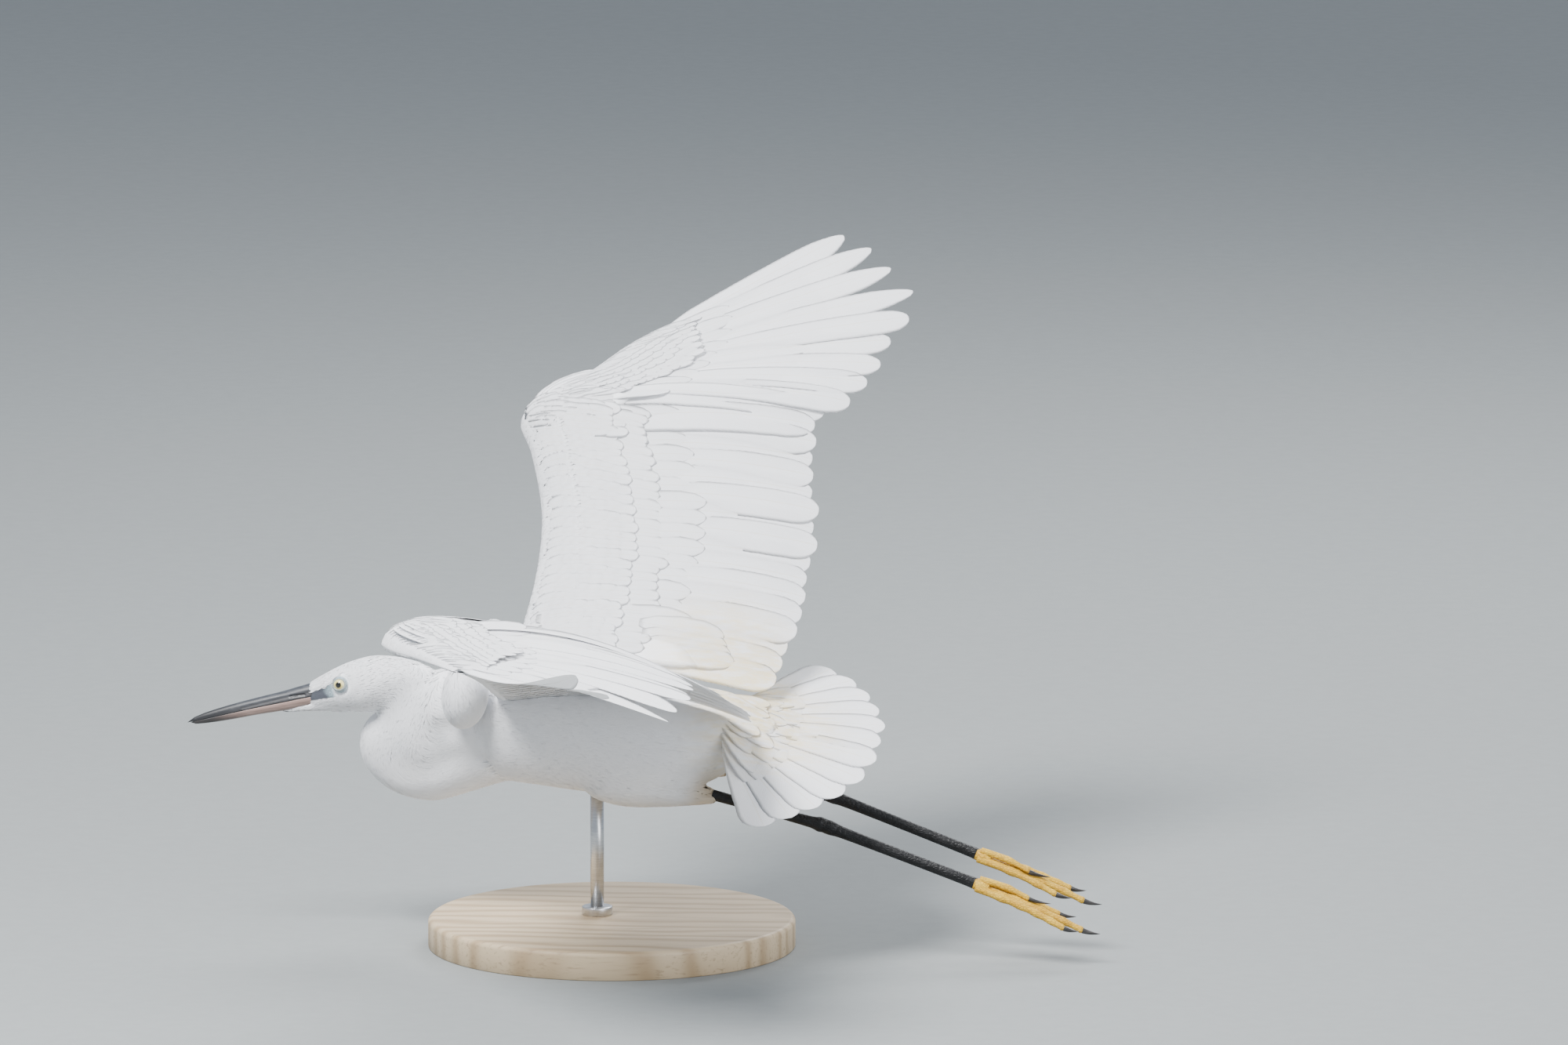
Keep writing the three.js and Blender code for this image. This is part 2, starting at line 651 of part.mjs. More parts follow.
// Secondaries and tertials: roots along the forearm and upper arm, tips along the trailing edge
function armFeathers(side) {
  const wing = armSurface(side);
  const tips = edge(ARM_TIPS, side);
  const outward = vec(0, side, 0);
  const placed = (share, from, to, shape, size) => {
    const rootShare = lerp(ARM_ROOTS.first, ARM_ROOTS.last, share);
    const root = wing.at(rootShare, ARM_ROOTS.behind + ARM_ROOTS.swell * Math.sin(Math.PI * share), 0);
    const tip = tips.getPointAt(share);
    const normal = wing.up(rootShare);
    const arch = lerp(ARCH.root, ARCH.wrist, share) * (root.distanceTo(tip) / ARM_CHORD) ** 2;
    const line = featherLine(root, tip, normal, arch);
    return vane(line, from, to + draw(-UNEVEN, UNEVEN), shape, { ...size, normal, outward });
  };
  const pieces = [];
  for (let i = 0; i < SECONDARIES.count; i += 1) {
    pieces.push(placed(i / (SECONDARIES.count - 1), 0, 1, ROUND_VANE, SECONDARIES));
  }
  for (const tier of ARM_TIERS) {
    for (let i = 0; i < tier.count; i += 1) {
      const share = lerp(tier.first, tier.last, i / (tier.count - 1));
      pieces.push(placed(share, tier.from, tier.to, COVERT_VANE, tier));
    }
  }
  for (let i = 0; i < SCAPULARS.count; i += 1) {
    const share = SCAPULARS.first + SCAPULARS.step * i;
    const root = wing.at(share, SCAPULARS.from, SCAPULARS.height);
    const tip = wing.at(share, SCAPULARS.to - SCAPULARS.shorter * i, SCAPULARS.height);
    const normal = wing.up(share);
    const line = featherLine(root, tip, normal, SCAPULAR_VANE.arch);
    pieces.push(vane(line, 0, 1, COVERT_VANE, { ...SCAPULAR_VANE, normal, outward }));
  }
  return pieces;
}

// Primaries: roots along the hand, tips fanned; the outer ones are narrowed into fingers
function handFeathers(side) {
  const wing = handSurface(side);
  const tips = edge(PRIMARY_TIPS, side);
  const curls = new THREE.CatmullRomCurve3(LEFT_TIP_SHIFT.map((shift) => vec(...shift)));
  const normal = wing.up(0);
  const placed = (share, from, to, shape, size) => {
    const { first, last, behind, behindTip } = HAND_ROOTS;
    const root = wing.at(lerp(first, last, share), lerp(behind, behindTip, share), 0);
    const tip = tips.getPoint(share);
    const curled = (share - fingerShare) / (1 - fingerShare);
    const curl = side > 0 && curled > -0.01 ? curls.getPoint(Math.max(curled, 0)) : vec(0, 0, 0);
    const plain = featherLine(root, tip, normal, lerp(...PRIMARY_ARCH, share));
    const line = (t) => plain(t).addScaledVector(curl, Math.max(t, 0) ** CURL_POWER);
    const outward = tip.clone().sub(root).cross(normal).normalize();
    outward.multiplyScalar(Math.sign(outward.y) * side);
    return vane(line, from, to + draw(-UNEVEN, UNEVEN), shape, { ...size, normal, outward });
  };
  const pieces = [];
  for (let i = 0; i < PRIMARIES.count; i += 1) {
    const share = i / (PRIMARIES.count - 1);
    const finger = share > fingerShare - 0.01;
    const width = finger ? { outer: PRIMARIES.fingerOuter, inner: PRIMARIES.fingerInner } : PRIMARIES;
    pieces.push(placed(share, 0, 1, finger ? FINGER_VANE : ROUND_VANE, width));
  }
  for (const tier of HAND_TIERS) {
    for (let i = 0; i < tier.count; i += 1) {
      const share = lerp(tier.first, tier.last, i / (tier.count - 1));
      pieces.push(placed(share, tier.from, tier.to, COVERT_VANE, tier));
    }
  }
  ALULA.lengths.forEach((length, i) => {
    const root = wing.at(ALULA.root, ALULA.behind + ALULA.rootStep * i, ALULA.height);
    const end = wing.at(ALULA.end, ALULA.behind + ALULA.endStep * i, ALULA.height);
    const tip = root.clone().addScaledVector(end.sub(root).normalize(), length);
    const outward = vec(1, side * 0.4, 0);
    const line = featherLine(root, tip, normal, 1);
    pieces.push(vane(line, 0, 1, COVERT_VANE, { ...ALULA_VANE, normal, outward }));
  });
  return pieces;
}

function wristPlane(side) {
  const point = vec(...WRIST_CUT.point);
  const along = vec(...WRIST_CUT.tip).sub(point);
  const normal = along.cross(blend(ARM_NORMAL, HAND_NORMAL, 0.5)).normalize();
  return { point: mirrored(WRIST_CUT.point, side), normal: mirrored(normal.toArray(), side) };
}

// Tail: twelve feathers fanned from inside the rump, with shorter coverts over and under them
function tailLine(angle) {
  const roll = rad(TAIL_ROLL);
  const droop = TAIL_DROOP[0] + TAIL_DROOP[1] * Math.abs(Math.sin(angle));
  const drop = -Math.sin(angle) * Math.sin(roll) - droop;
  const way = vec(-Math.cos(angle), Math.sin(angle) * Math.cos(roll), drop).normalize();
  const root = vec(TAIL_PIVOT[0], TAIL_ROOT_WIDTH * Math.sin(angle), TAIL_PIVOT[1]);
  const outward = vec(-Math.sin(angle), -Math.cos(angle), 0).multiplyScalar(angle > 0 ? -1 : 1);
  const normal = vec(0, Math.sin(roll), Math.cos(roll));
  return { at: (reach) => root.clone().addScaledVector(way, reach), outward, normal };
}

function tailFeathers() {
  const pieces = [];
  for (let i = 0; i < RECTRICES.count; i += 1) {
    const angle = rad(lerp(-TAIL_SPREAD, TAIL_SPREAD, i / (RECTRICES.count - 1)));
    const line = tailLine(angle);
    const shorter = TAIL_ROUNDING * (angle / rad(TAIL_SPREAD)) ** 2;
    const length = TAIL_LENGTH - shorter + draw(-TAIL_UNEVEN, TAIL_UNEVEN);
    const central = i === RECTRICES.count / 2;
    const { half, lift, root } = RECTRICES;
    const size = { ...line, outer: half, inner: half, lift, height: central ? 1 : 0 };
    pieces.push(vane(line.at, root / Math.cos(angle), length, TAIL_VANE, size));
  }
  for (const tier of TAIL_COVERTS) {
    for (let i = 0; i < tier.count; i += 1) {
      const angle = rad(lerp(-tier.spread, tier.spread, i / (tier.count - 1)) + 0.01);
      const line = tailLine(angle);
      const { half, height } = tier;
      const size = { ...line, outer: half, inner: half, lift: RECTRICES.lift, height };
      const to = tier.to + draw(-TAIL_UNEVEN, TAIL_UNEVEN);
      pieces.push(vane(line.at, tier.from, to, COVERT_VANE, size));
    }
  }
  return pieces;
}

function mesh(name, geometry, finish) {
  geometry.computeVertexNormals();
  const made = new THREE.Mesh(geometry, new THREE.MeshStandardMaterial(finish));
  made.name = name;
  return made;
}

const model = new THREE.Group();
const bird = new THREE.Group();
bird.position.set(0, 0, BODY_HEIGHT);
bird.rotation.set(rad(BODY_BANK), rad(BODY_PITCH), rad(BODY_TURN), "ZYX");
bird.updateMatrixWorld(true);
model.add(bird);

// The head's group is turned inside the bird's so that it stays level
const head = new THREE.Group();
const headAngles = new THREE.Euler(0, rad(HEAD_DIP), rad(HEAD_TURN), "ZYX");
const level = new THREE.Quaternion().setFromEuler(headAngles);
head.position.set(...HEAD_CENTRE);
head.quaternion.copy(bird.quaternion.clone().invert().multiply(level));
head.updateMatrix();
bird.add(head);

function addHead() {
  let skull = joined([headForm(), chinForm(), lid(1), lid(-1)]);
  for (const side of [1, -1]) skull = skull.subtract(solid(eyeball(side, GROW)));
  skull = skull.subtract(solid(billHalf(true, GROW))).subtract(solid(billHalf(false, GROW)));
  for (const side of [1, -1]) skull = skull.subtract(solid(slot(MOUTH, side)));
  head.add(mesh("head", surface(largest(skull)), WHITE));
  for (const [side, name] of [[1, "eye_left"], [-1, "eye_right"]]) {
    head.add(mesh(name, eyeball(side), IRIS_YELLOW));
  }
  let upper = solid(billHalf(true));
  for (const side of [1, -1]) upper = upper.subtract(solid(slot(NOSTRIL, side)));
  head.add(mesh("bill_upper", surface(largest(upper)), SLATE));
  head.add(mesh("bill_lower", billHalf(false), HORN));
}

function addNeck() {
  const headSolid = joined([headForm(GROW), chinForm(GROW)].map((form) => form.applyMatrix4(head.matrix)));
  const trunk = solid(trunkForm(GROW));
  const [first, second] = NECK_SPLITS.map(neckPlane);
  const before = (plane) => halfSpace(plane.point, plane.normal, -GAP / 2);
  const after = (plane) => halfSpace(plane.point, plane.normal.clone().negate(), -GAP / 2);
  const piece = (from, to, grow = 0) => {
    return solid(neckForm(grow, from, to, 9)).subtract(headSolid).subtract(trunk);
  };
  const [a, b] = NECK_SPLITS;
  const upper = piece(0, a + NECK_OVERLAP).intersect(before(first));
  const middle = piece(a - NECK_OVERLAP, b + NECK_OVERLAP)
    .intersect(after(first))
    .intersect(before(second));
  const lower = piece(b - NECK_OVERLAP, 1)
    .intersect(after(second))
    .subtract(piece(0, a - NECK_OVERLAP, GROW));
  const lengths = { neck_upper: upper, neck_middle: middle, neck_lower: lower };
  for (const [name, body] of Object.entries(lengths)) {
    bird.add(mesh(name, surface(largest(body)), WHITE));
  }
}

function addTrunk() {
  const whole = solid(trunkForm());
  const front = halfSpace(vec(RUMP_CUT, 0, 0), vec(-1, 0, 0), -GAP / 2);
  const rear = halfSpace(vec(RUMP_CUT, 0, 0), vec(1, 0, 0), -GAP / 2);
  bird.add(mesh("torso", surface(largest(whole.intersect(front))), WHITE));
  const tail = joined(tailFeathers()).add(whole).intersect(rear);
  bird.add(mesh("tail", surface(largest(tail)), FLIGHT_WHITE));
}

function addWings() {
  const trunk = solid(trunkForm(GROW));
  const neck = solid(neckForm(GROW));
  for (const [side, name] of [[1, "left"], [-1, "right"]]) {
    const { point, normal } = wristPlane(side);
    const inner = halfSpace(point, normal, -GAP / 2);
    const outer = halfSpace(point, normal.clone().negate(), -GAP / 2);
    const ball = closeSeam(new THREE.SphereGeometry(1, 14, 7)).scale(...SHOULDER.radii);
    const shoulder = solid(ball.translate(...mirrored(SHOULDER.centre, side).toArray()));
    const arm = joined([wingCore(armSurface(side), ARM_CORE, 7), ...armFeathers(side)])
      .intersect(inner)
      .add(shoulder)
      .subtract(trunk)
      .subtract(neck);
    const hand = joined([wingCore(handSurface(side), HAND_CORE, 5), ...handFeathers(side)])
      .intersect(outer);
    bird.add(mesh("wing_" + name + "_arm", surface(largest(arm)), FLIGHT_WHITE));
    bird.add(mesh("wing_" + name + "_hand", surface(largest(hand)), FLIGHT_WHITE));
  }
}

// Toe: a tube with a pad at each joint, laid along the trailing foot, and its claw
function toeLine(leg, toe) {
  const spread = rad(toe.spread * leg.side);
  const dip = rad(TOE_DIP);
  const ahead = Math.cos(spread);
  const way = vec(-Math.cos(dip) * ahead, Math.sin(spread), -Math.sin(dip) * ahead);
  const sole = vec(-Math.sin(dip), 0, Math.cos(dip));
  const start = vec(...leg.heel).add(vec(0, toe.start * leg.side, 0)).addScaledVector(sole, toe.lift);
  return { way, sole, start };
}

function toeForm(leg, toe) {
  const { way, sole, start } = toeLine(leg, toe);
  const stations = 7;
  const rings = [];
  const across = way.clone().cross(sole).normalize();
  for (let s = 0; s < stations; s += 1) {
    const share = s / (stations - 1);
    const pad = s % 2 === 0 ? TOE_SHAPE.pad : TOE_SHAPE.waist;
    const size = toe.radius * lerp(1, TOE_SHAPE.taper, share) * pad;
    const centre = start
      .clone()
      .addScaledVector(way, lerp(TOE_SHAPE.back, toe.length, share))
      .addScaledVector(sole, TOE_SHAPE.bow * Math.sin(Math.PI * share));
    rings.push(oval(centre, across, sole, size, size, size, 6));
  }
  return loft(rings);
}

function clawForm(leg, toe) {
  const { way, sole, start } = toeLine(leg, toe);
  const across = way.clone().cross(sole).normalize();
  const base = start.clone().addScaledVector(way, toe.length + GAP);
  const rings = [0, 0.3, 0.6, 0.85].map((share) => {
    const size = toe.radius * CLAW_SHAPE.base * (1 - CLAW_SHAPE.taper * share);
    const centre = base.clone().addScaledVector(way, toe.claw * share);
    centre.addScaledVector(sole, CLAW_SHAPE.bend * share * share);
    return oval(centre, across, sole, size * CLAW_SHAPE.flat, size, size, 6);
  });
  const tip = base.clone().addScaledVector(way, toe.claw).addScaledVector(sole, CLAW_SHAPE.tipBend);
  return loft(rings, undefined, tip);
}

function addLegs() {
  const trunk = solid(trunkForm(GROW));
  for (const leg of LEGS) {
    const knee = mirrored(KNEE, leg.side);
    const tuft = vec(...leg.tuft);
    const ankle = vec(...leg.ankle);
    const heel = vec(...leg.heel);
    const shin = ankle.clone().sub(tuft).normalize();
    const shank = heel.clone().sub(ankle).normalize();
    const down = (from, way, reach) => from.clone().addScaledVector(way, reach);
    const wholeThigh = solid(limb(knee, tuft, THIGH, 14, 8));
    bird.add(mesh("thigh_" + leg.name, surface(largest(wholeThigh.subtract(trunk))), WHITE));
    const tibiaStart = down(tuft, shin, LEG_JOINTS.tibiaStart);
    const tibia = solid(limb(tibiaStart, ankle, TIBIA, 10, 7)).subtract(wholeThigh);
    bird.add(mesh("tibia_" + leg.name, surface(largest(tibia)), LEG_BLACK));
    const tarsusEnd = down(heel, shank, LEG_JOINTS.tarsusEnd);
    const tarsus = limb(down(ankle, shank, LEG_JOINTS.tarsusStart), tarsusEnd, TARSUS, 10, 9);
    bird.add(mesh("tarsus_" + leg.name, tarsus, LEG_BLACK));
    const hubStart = down(heel, shank, LEG_JOINTS.footStart);
    const hub = limb(hubStart, down(heel, shank, LEG_JOINTS.footEnd), FOOT_HUB, 8, 4);
    const cutBack = halfSpace(tarsusEnd, shank.clone().negate(), -GAP);
    const foot = joined([...TOES.map((toe) => toeForm(leg, toe)), hub]).intersect(cutBack);
    bird.add(mesh("foot_" + leg.name, surface(largest(foot)), TOE_YELLOW));
    for (const toe of TOES) {
      bird.add(mesh("claw_" + leg.name + "_" + toe.name, clawForm(leg, toe), CLAW_BLACK));
    }
  }
}

function addStand() {
  const profile = [
    new THREE.Vector2(0, 0),
    new THREE.Vector2(BASE_RADIUS, 0),
    new THREE.Vector2(BASE_RADIUS, BASE_THICKNESS - BASE_EDGE),
    new THREE.Vector2(BASE_RADIUS - 0.3 * BASE_EDGE, BASE_THICKNESS - 0.3 * BASE_EDGE),
    new THREE.Vector2(BASE_RADIUS - BASE_EDGE, BASE_THICKNESS),
    new THREE.Vector2(0, BASE_THICKNESS),
  ];
  const base = closeSeam(new THREE.LatheGeometry(profile, 44)).rotateX(Math.PI / 2);
  model.add(mesh("stand_base", base, ASH_WOOD));
  const entry = vec(...ROD_AT).applyMatrix4(bird.matrixWorld);
  const foot = BASE_THICKNESS + GAP;
  const rod = closeSeam(new THREE.CylinderGeometry(ROD_RADIUS, ROD_RADIUS, entry.z - foot, 20));
  rod.rotateX(Math.PI / 2).translate(entry.x, entry.y, (entry.z + foot) / 2);
  const collar = closeSeam(new THREE.CylinderGeometry(COLLAR_RADIUS, COLLAR_RADIUS, COLLAR_HEIGHT, 28));
  collar.rotateX(Math.PI / 2).translate(entry.x, entry.y, foot + COLLAR_HEIGHT / 2);
  const belly = solid(trunkForm(GROW).applyMatrix4(bird.matrixWorld));
  const standing = joined([rod, collar]).subtract(belly);
  model.add(mesh("stand_rod", surface(largest(standing)), STEEL));
}

addHead();
addNeck();
addTrunk();
addWings();
addLegs();
addStand();

export default model;
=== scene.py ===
# Little egret, gliding on its display stand: the looks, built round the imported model.
# The bird has a frame of its own, in millimetres:
# x forward along the body, y to its left, z out of its back.
import math

import bmesh
import bpy
import numpy as np
from mathutils import Matrix
from mathutils.kdtree import KDTree


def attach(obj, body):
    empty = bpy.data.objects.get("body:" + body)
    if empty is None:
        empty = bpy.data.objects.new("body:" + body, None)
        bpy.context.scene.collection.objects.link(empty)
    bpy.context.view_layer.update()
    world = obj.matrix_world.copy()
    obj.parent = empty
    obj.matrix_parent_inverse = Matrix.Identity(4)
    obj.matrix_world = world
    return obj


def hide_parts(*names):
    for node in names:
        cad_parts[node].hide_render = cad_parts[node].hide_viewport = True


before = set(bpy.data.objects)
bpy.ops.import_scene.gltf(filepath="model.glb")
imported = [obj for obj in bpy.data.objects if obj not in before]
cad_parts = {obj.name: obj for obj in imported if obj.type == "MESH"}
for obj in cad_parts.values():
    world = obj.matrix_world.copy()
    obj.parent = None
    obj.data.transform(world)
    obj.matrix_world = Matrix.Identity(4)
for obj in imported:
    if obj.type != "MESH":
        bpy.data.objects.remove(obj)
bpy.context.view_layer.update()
print("frame loaded:", len(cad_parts), "nodes")

# Pose, as in the part's source
pose = {"height": 122, "turn": 167.8, "pitch": -5.5, "bank": -13.5, "headTurn": 172, "headDip": 12.2}
headCentre = np.array([137.8, 0, 16.6])


def turned(yaw, pitch, roll):
    # Turn matrix from three angles in degrees
    turns = zip((yaw, pitch, roll), "ZYX")
    z, y, x = (np.array(Matrix.Rotation(math.radians(angle), 3, axis)) for angle, axis in turns)
    return z @ y @ x


birdTurn = turned(pose["turn"], pose["pitch"], pose["bank"])
headTurn = birdTurn.T @ turned(pose["headTurn"], pose["headDip"], 0)
birdPlace = np.array([0, 0, pose["height"]])


def toRoom(points):
    return (np.asarray(points, float) @ birdTurn.T + birdPlace) / 1000


def fromHead(points):
    return np.asarray(points, float) @ headTurn.T + headCentre


def toHead(points):
    return (np.asarray(points, float) - headCentre) @ headTurn


def unit(vectors):
    vectors = np.asarray(vectors, float)
    return vectors / np.maximum(np.linalg.norm(vectors, axis=-1, keepdims=True), 1e-9)


def lerp(a, b, share):
    # The value a share of the way from a to b
    return a + (b - a) * share


def ease(x, low=0.0, high=1.0):
    # 0 up to low, 1 from high on, and smooth between
    x = np.clip((x - low) / (high - low), 0, 1)
    return x * x * (3 - 2 * x)


def smoothRows(rows, places):
    # Rows of a table between its given rows, on a smooth curve; places run from 0 to 1
    rows = np.asarray(rows, float)
    place = np.asarray(places, float) * (len(rows) - 1)
    i = np.clip(np.floor(place).astype(int), 0, len(rows) - 2)
    t = (place - i)[:, None]
    last = len(rows) - 1
    a, b, c, d = rows[np.maximum(i - 1, 0)], rows[i], rows[i + 1], rows[np.minimum(i + 2, last)]
    return b + 0.5 * t * (c - a + t * (2 * a - 5 * b + 4 * c - d + t * (3 * (b - c) + d - a)))


def between(values, places, axis=0):
    # Values at places between the rows of an array, or along another of its axes
    low = np.minimum(places.astype(int), values.shape[axis] - 2)
    t = (places - low).reshape([-1] + [1] * (values.ndim - axis - 1))
    return np.take(values, low, axis) * (1 - t) + np.take(values, low + 1, axis) * t


def pairs(first, second):
    # Every value of the first with every value of the second, in rows of two
    return np.stack(np.meshgrid(first, second, indexing="ij"), -1).reshape(-1, 2)


def roundAngles(count, shift=0.0):
    return 2 * np.pi * (np.arange(count) + shift) / count


class EdgeLine:
    # A smooth curve through points, by share of its points or of its length
    def __init__(self, points):
        p = np.asarray(points, float)
        self.count = len(p)
        self.p = np.vstack([2 * p[0] - p[1], p, 2 * p[-1] - p[-2]])
        table = self.at(np.linspace(0, 1, 201))
        steps = np.linalg.norm(np.diff(table, axis=0), axis=1)
        self.lengths = np.concatenate([[0], np.cumsum(steps)])

    def at(self, share):
        place = np.clip(np.atleast_1d(share), 0, 1) * (self.count - 1)
        i = np.minimum(np.floor(place).astype(int), self.count - 2)
        t = (place - i)[:, None]
        a, b, c, d = (self.p[i + k] for k in range(4))
        da, db, dc = (np.sqrt(np.linalg.norm(v, axis=1))[:, None] for v in (b - a, c - b, d - c))
        m = ((b - a) / da - (c - a) / (da + db) + (c - b) / db) * db
        n = ((c - b) / db - (d - b) / (db + dc) + (d - c) / dc) * db
        return b + t * (m + t * (-3 * b + 3 * c - 2 * m - n + t * (2 * b - 2 * c + m + n)))

    def atLength(self, share):
        wanted = np.atleast_1d(share) * self.lengths[-1]
        return self.at(np.interp(wanted, self.lengths, np.linspace(0, 1, 201)))


def ovalRings(centres, across, above, wide, up, down, count, power=1.0):
    # Ovals round a line of centres, with their own height above and below
    angle = roundAngles(count, 0.5)
    c = np.sign(np.cos(angle)) * np.abs(np.cos(angle)) ** power
    s = np.sign(np.sin(angle)) * np.abs(np.sin(angle)) ** power
    wide, up, down = (np.asarray(v, float)[:, None] * np.ones(1) for v in (wide, up, down))
    height = np.where(s > 0, up * s, down * s)
    across, above = (np.broadcast_to(v, np.shape(centres)) for v in (across, above))
    sideways = across[:, None] * (wide * c)[..., None]
    return centres[:, None] + sideways + above[:, None] * height[..., None]


def loftShape(rings, start=None, end=None):
    # Closes a tube of rings with a point, or a fan round its middle, at each end
    rings = np.asarray(rings, float)
    stations, count = rings.shape[:2]
    start = rings[0].mean(0) if start is None else np.asarray(start, float)
    end = rings[-1].mean(0) if end is None else np.asarray(end, float)
    points = np.vstack([rings.reshape(-1, 3), start, end])
    i, k = np.meshgrid(np.arange(stations - 1), np.arange(count), indexing="ij")
    a, b = i * count + k, i * count + (k + 1) % count
    quads = np.stack([a, b, b + count, a + count], -1).reshape(-1, 4)
    faces = np.vstack([quads[:, [0, 1, 2]], quads[:, [0, 2, 3]]])
    k = np.arange(count)
    first = np.stack([np.full(count, len(points) - 2), (k + 1) % count, k], -1)
    low = (stations - 1) * count
    final = np.stack([np.full(count, len(points) - 1), low + k, low + (k + 1) % count], -1)
    faces = np.vstack([faces, first, final])
    return facedOut(points, faces)


def facedOut(points, faces):
    # Turns a closed shape's faces outward
    a, b, c = (points[faces[:, k]] for k in range(3))
    if np.sum(a * np.cross(b, c)) < 0:
        faces = faces[:, ::-1]
    return {"points": points, "faces": faces}


def flatFacing(shape):
    # The true outward way of each face, once for each corner
    a, b, c = (shape["points"][shape["faces"][:, k]] for k in range(3))
    return np.repeat(unit(np.cross(b - a, c - a)), 3, axis=0)


def together(shapes):
    # One shape from several, with what they all carry
    start, points, faces = 0, [], []
    for shape in shapes:
        points.append(shape["points"])
        faces.append(shape["faces"] + start)
        start += len(shape["points"])
    made = {"points": np.vstack(points), "faces": np.vstack(faces)}
    if all("facing" in shape for shape in shapes):
        made["facing"] = np.vstack([shape["facing"] for shape in shapes])
    return made


def addPiece(name, shape, finish, body="root", smooth=True, inRoom=False):
    # A mesh object from arrays; its place is in its mesh
    points = shape["points"] if inRoom else toRoom(shape["points"])
    faces = np.ascontiguousarray(shape["faces"], np.int32)
    mesh = bpy.data.meshes.new(name)
    mesh.vertices.add(len(points))
    mesh.vertices.foreach_set("co", points.astype(np.float32).ravel())
    mesh.loops.add(faces.size)
    mesh.loops.foreach_set("vertex_index", faces.ravel())
    mesh.polygons.add(len(faces))
    mesh.polygons.foreach_set("loop_start", np.arange(0, faces.size, faces.shape[1], dtype=np.int32))
    mesh.update(calc_edges=True)
    if smooth:
        mesh.polygons.foreach_set("use_smooth", np.ones(len(faces), bool))
    for layer, values in shape.get("uv", {}).items():
        made = mesh.uv_layers.new(name=layer)
        made.uv.foreach_set("vector", np.asarray(values, np.float32).ravel())
    for label, values in shape.get("marks", {}).items():
        made = mesh.attributes.new(label, "FLOAT", "POINT")
        made.data.foreach_set("value", np.asarray(values, np.float32))
    if "facing" in shape:
        # Feathers take the light as the surface they lie on does
        made = mesh.attributes.new("custom_normal", "FLOAT_VECTOR", "CORNER")
        made.data.foreach_set("vector", unit(shape["facing"] @ birdTurn.T).astype(np.float32).ravel())
    mesh.validate()
    piece = bpy.data.objects.new(name, mesh)
    bpy.context.scene.collection.objects.link(piece)
    mesh.materials.append(finish)
    if body:
        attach(piece, body)
    return piece


class Wire:
    # A socket of a shader node, so that maths on it reads as Python
    def __init__(self, paint, socket):
        self.paint = paint
        self.socket = socket

    def maths(self, operation, other=None, flipped=False, clamp=False):
        values = [self] if other is None else [other, self] if flipped else [self, other]
        return self.paint.node("ShaderNodeMath", {"operation": operation, "use_clamp": clamp}, values)

    def __add__(self, other):
        return self.maths("ADD", other)

    def __radd__(self, other):
        return self.maths("ADD", other, True)

    def __sub__(self, other):
        return self.maths("SUBTRACT", other)

    def __rsub__(self, other):
        return self.maths("SUBTRACT", other, True)

    def __mul__(self, other):
        return self.maths("MULTIPLY", other)

    def __rmul__(self, other):
        return self.maths("MULTIPLY", other, True)

    def __pow__(self, other):
        return self.maths("POWER", other)

    def wave(self):
        return self.maths("SINE")

    def size(self):
        return self.maths("ABSOLUTE")

    def clamped(self):
        return self.maths("ADD", 0.0, clamp=True)

    def rise(self, low, high):
        # 0 up to low, 1 from high on, and smooth between
        values = {"Value": self, "From Min": low, "From Max": high}
        return self.paint.node("ShaderNodeMapRange", {"interpolation_type": "SMOOTHSTEP"}, values)


class Paint:
    # One material and its nodes
    def __init__(self, name, **fixed):
        self.material = bpy.data.materials.new(name)
        self.material.use_nodes = True
        self.nodes = self.material.node_tree.nodes
        self.links = self.material.node_tree.links
        self.shader = self.nodes["Principled BSDF"]
        for label, value in fixed.items():
            self.shader.inputs[label.replace("_", " ")].default_value = value

    def node(self, kind, settings=None, values=(), output=0):
        # Adds a node: its settings first, then the values or links of its sockets
        made = self.nodes.new(kind)
        for label, value in (settings or {}).items():
            if label == "stops":
                ramp = made.color_ramp
                while len(ramp.elements) < len(value):
                    ramp.elements.new(0.5)
                for element, (place, colour) in zip(ramp.elements, value):
                    element.position = place
                    element.color = (*colour, 1)
            else:
                setattr(made, label, value)
        for socket, value in values.items() if isinstance(values, dict) else enumerate(values):
            if isinstance(value, Wire):
                self.links.new(value.socket, made.inputs[socket])
            elif value is not None:
                made.inputs[socket].default_value = value
        return Wire(self, made.outputs[output])

    def place(self, scale=(1, 1, 1)):
        # Object coordinates, in metres of the room
        where = self.node("ShaderNodeTexCoord", output="Object")
        return self.node("ShaderNodeMapping", {}, {"Vector": where, "Scale": scale})

    def apart(self, vector):
        made = self.node("ShaderNodeSeparateXYZ", {}, [vector])
        outputs = made.socket.node.outputs
        return [Wire(self, outputs[k]) for k in range(3)]

    def uv(self, layer):
        return self.node("ShaderNodeUVMap", {"uv_map": layer})

    def mark(self, label):
        return self.node("ShaderNodeAttribute", {"attribute_name": label}, output="Fac")

    def noise(self, vector, scale, detail=3.0, roughness=0.55):
        values = {"Vector": vector, "Scale": scale, "Detail": detail, "Roughness": roughness}
        return self.node("ShaderNodeTexNoise", {}, values)

    def cells(self, vector, scale, feature="F1"):
        values = {"Vector": vector, "Scale": scale}
        return self.node("ShaderNodeTexVoronoi", {"feature": feature}, values)

    def mix(self, share, first, second, blend="MIX"):
        settings = {"data_type": "RGBA", "blend_type": blend}
        first, second = ((*c, 1) if isinstance(c, tuple) else c for c in (first, second))
        return self.node("ShaderNodeMix", settings, {0: share, 6: first, 7: second}, output=2)

    def bump(self, height, distance, strength=1.0):
        values = {"Height": height, "Distance": distance, "Strength": strength}
        return self.node("ShaderNodeBump", {}, values)

    def feed(self, label, wire):
        if isinstance(wire, Wire):
            self.links.new(wire.socket, self.shader.inputs[label])
        else:
            self.shader.inputs[label].default_value = (*wire, 1) if isinstance(wire, tuple) else wire
        return self


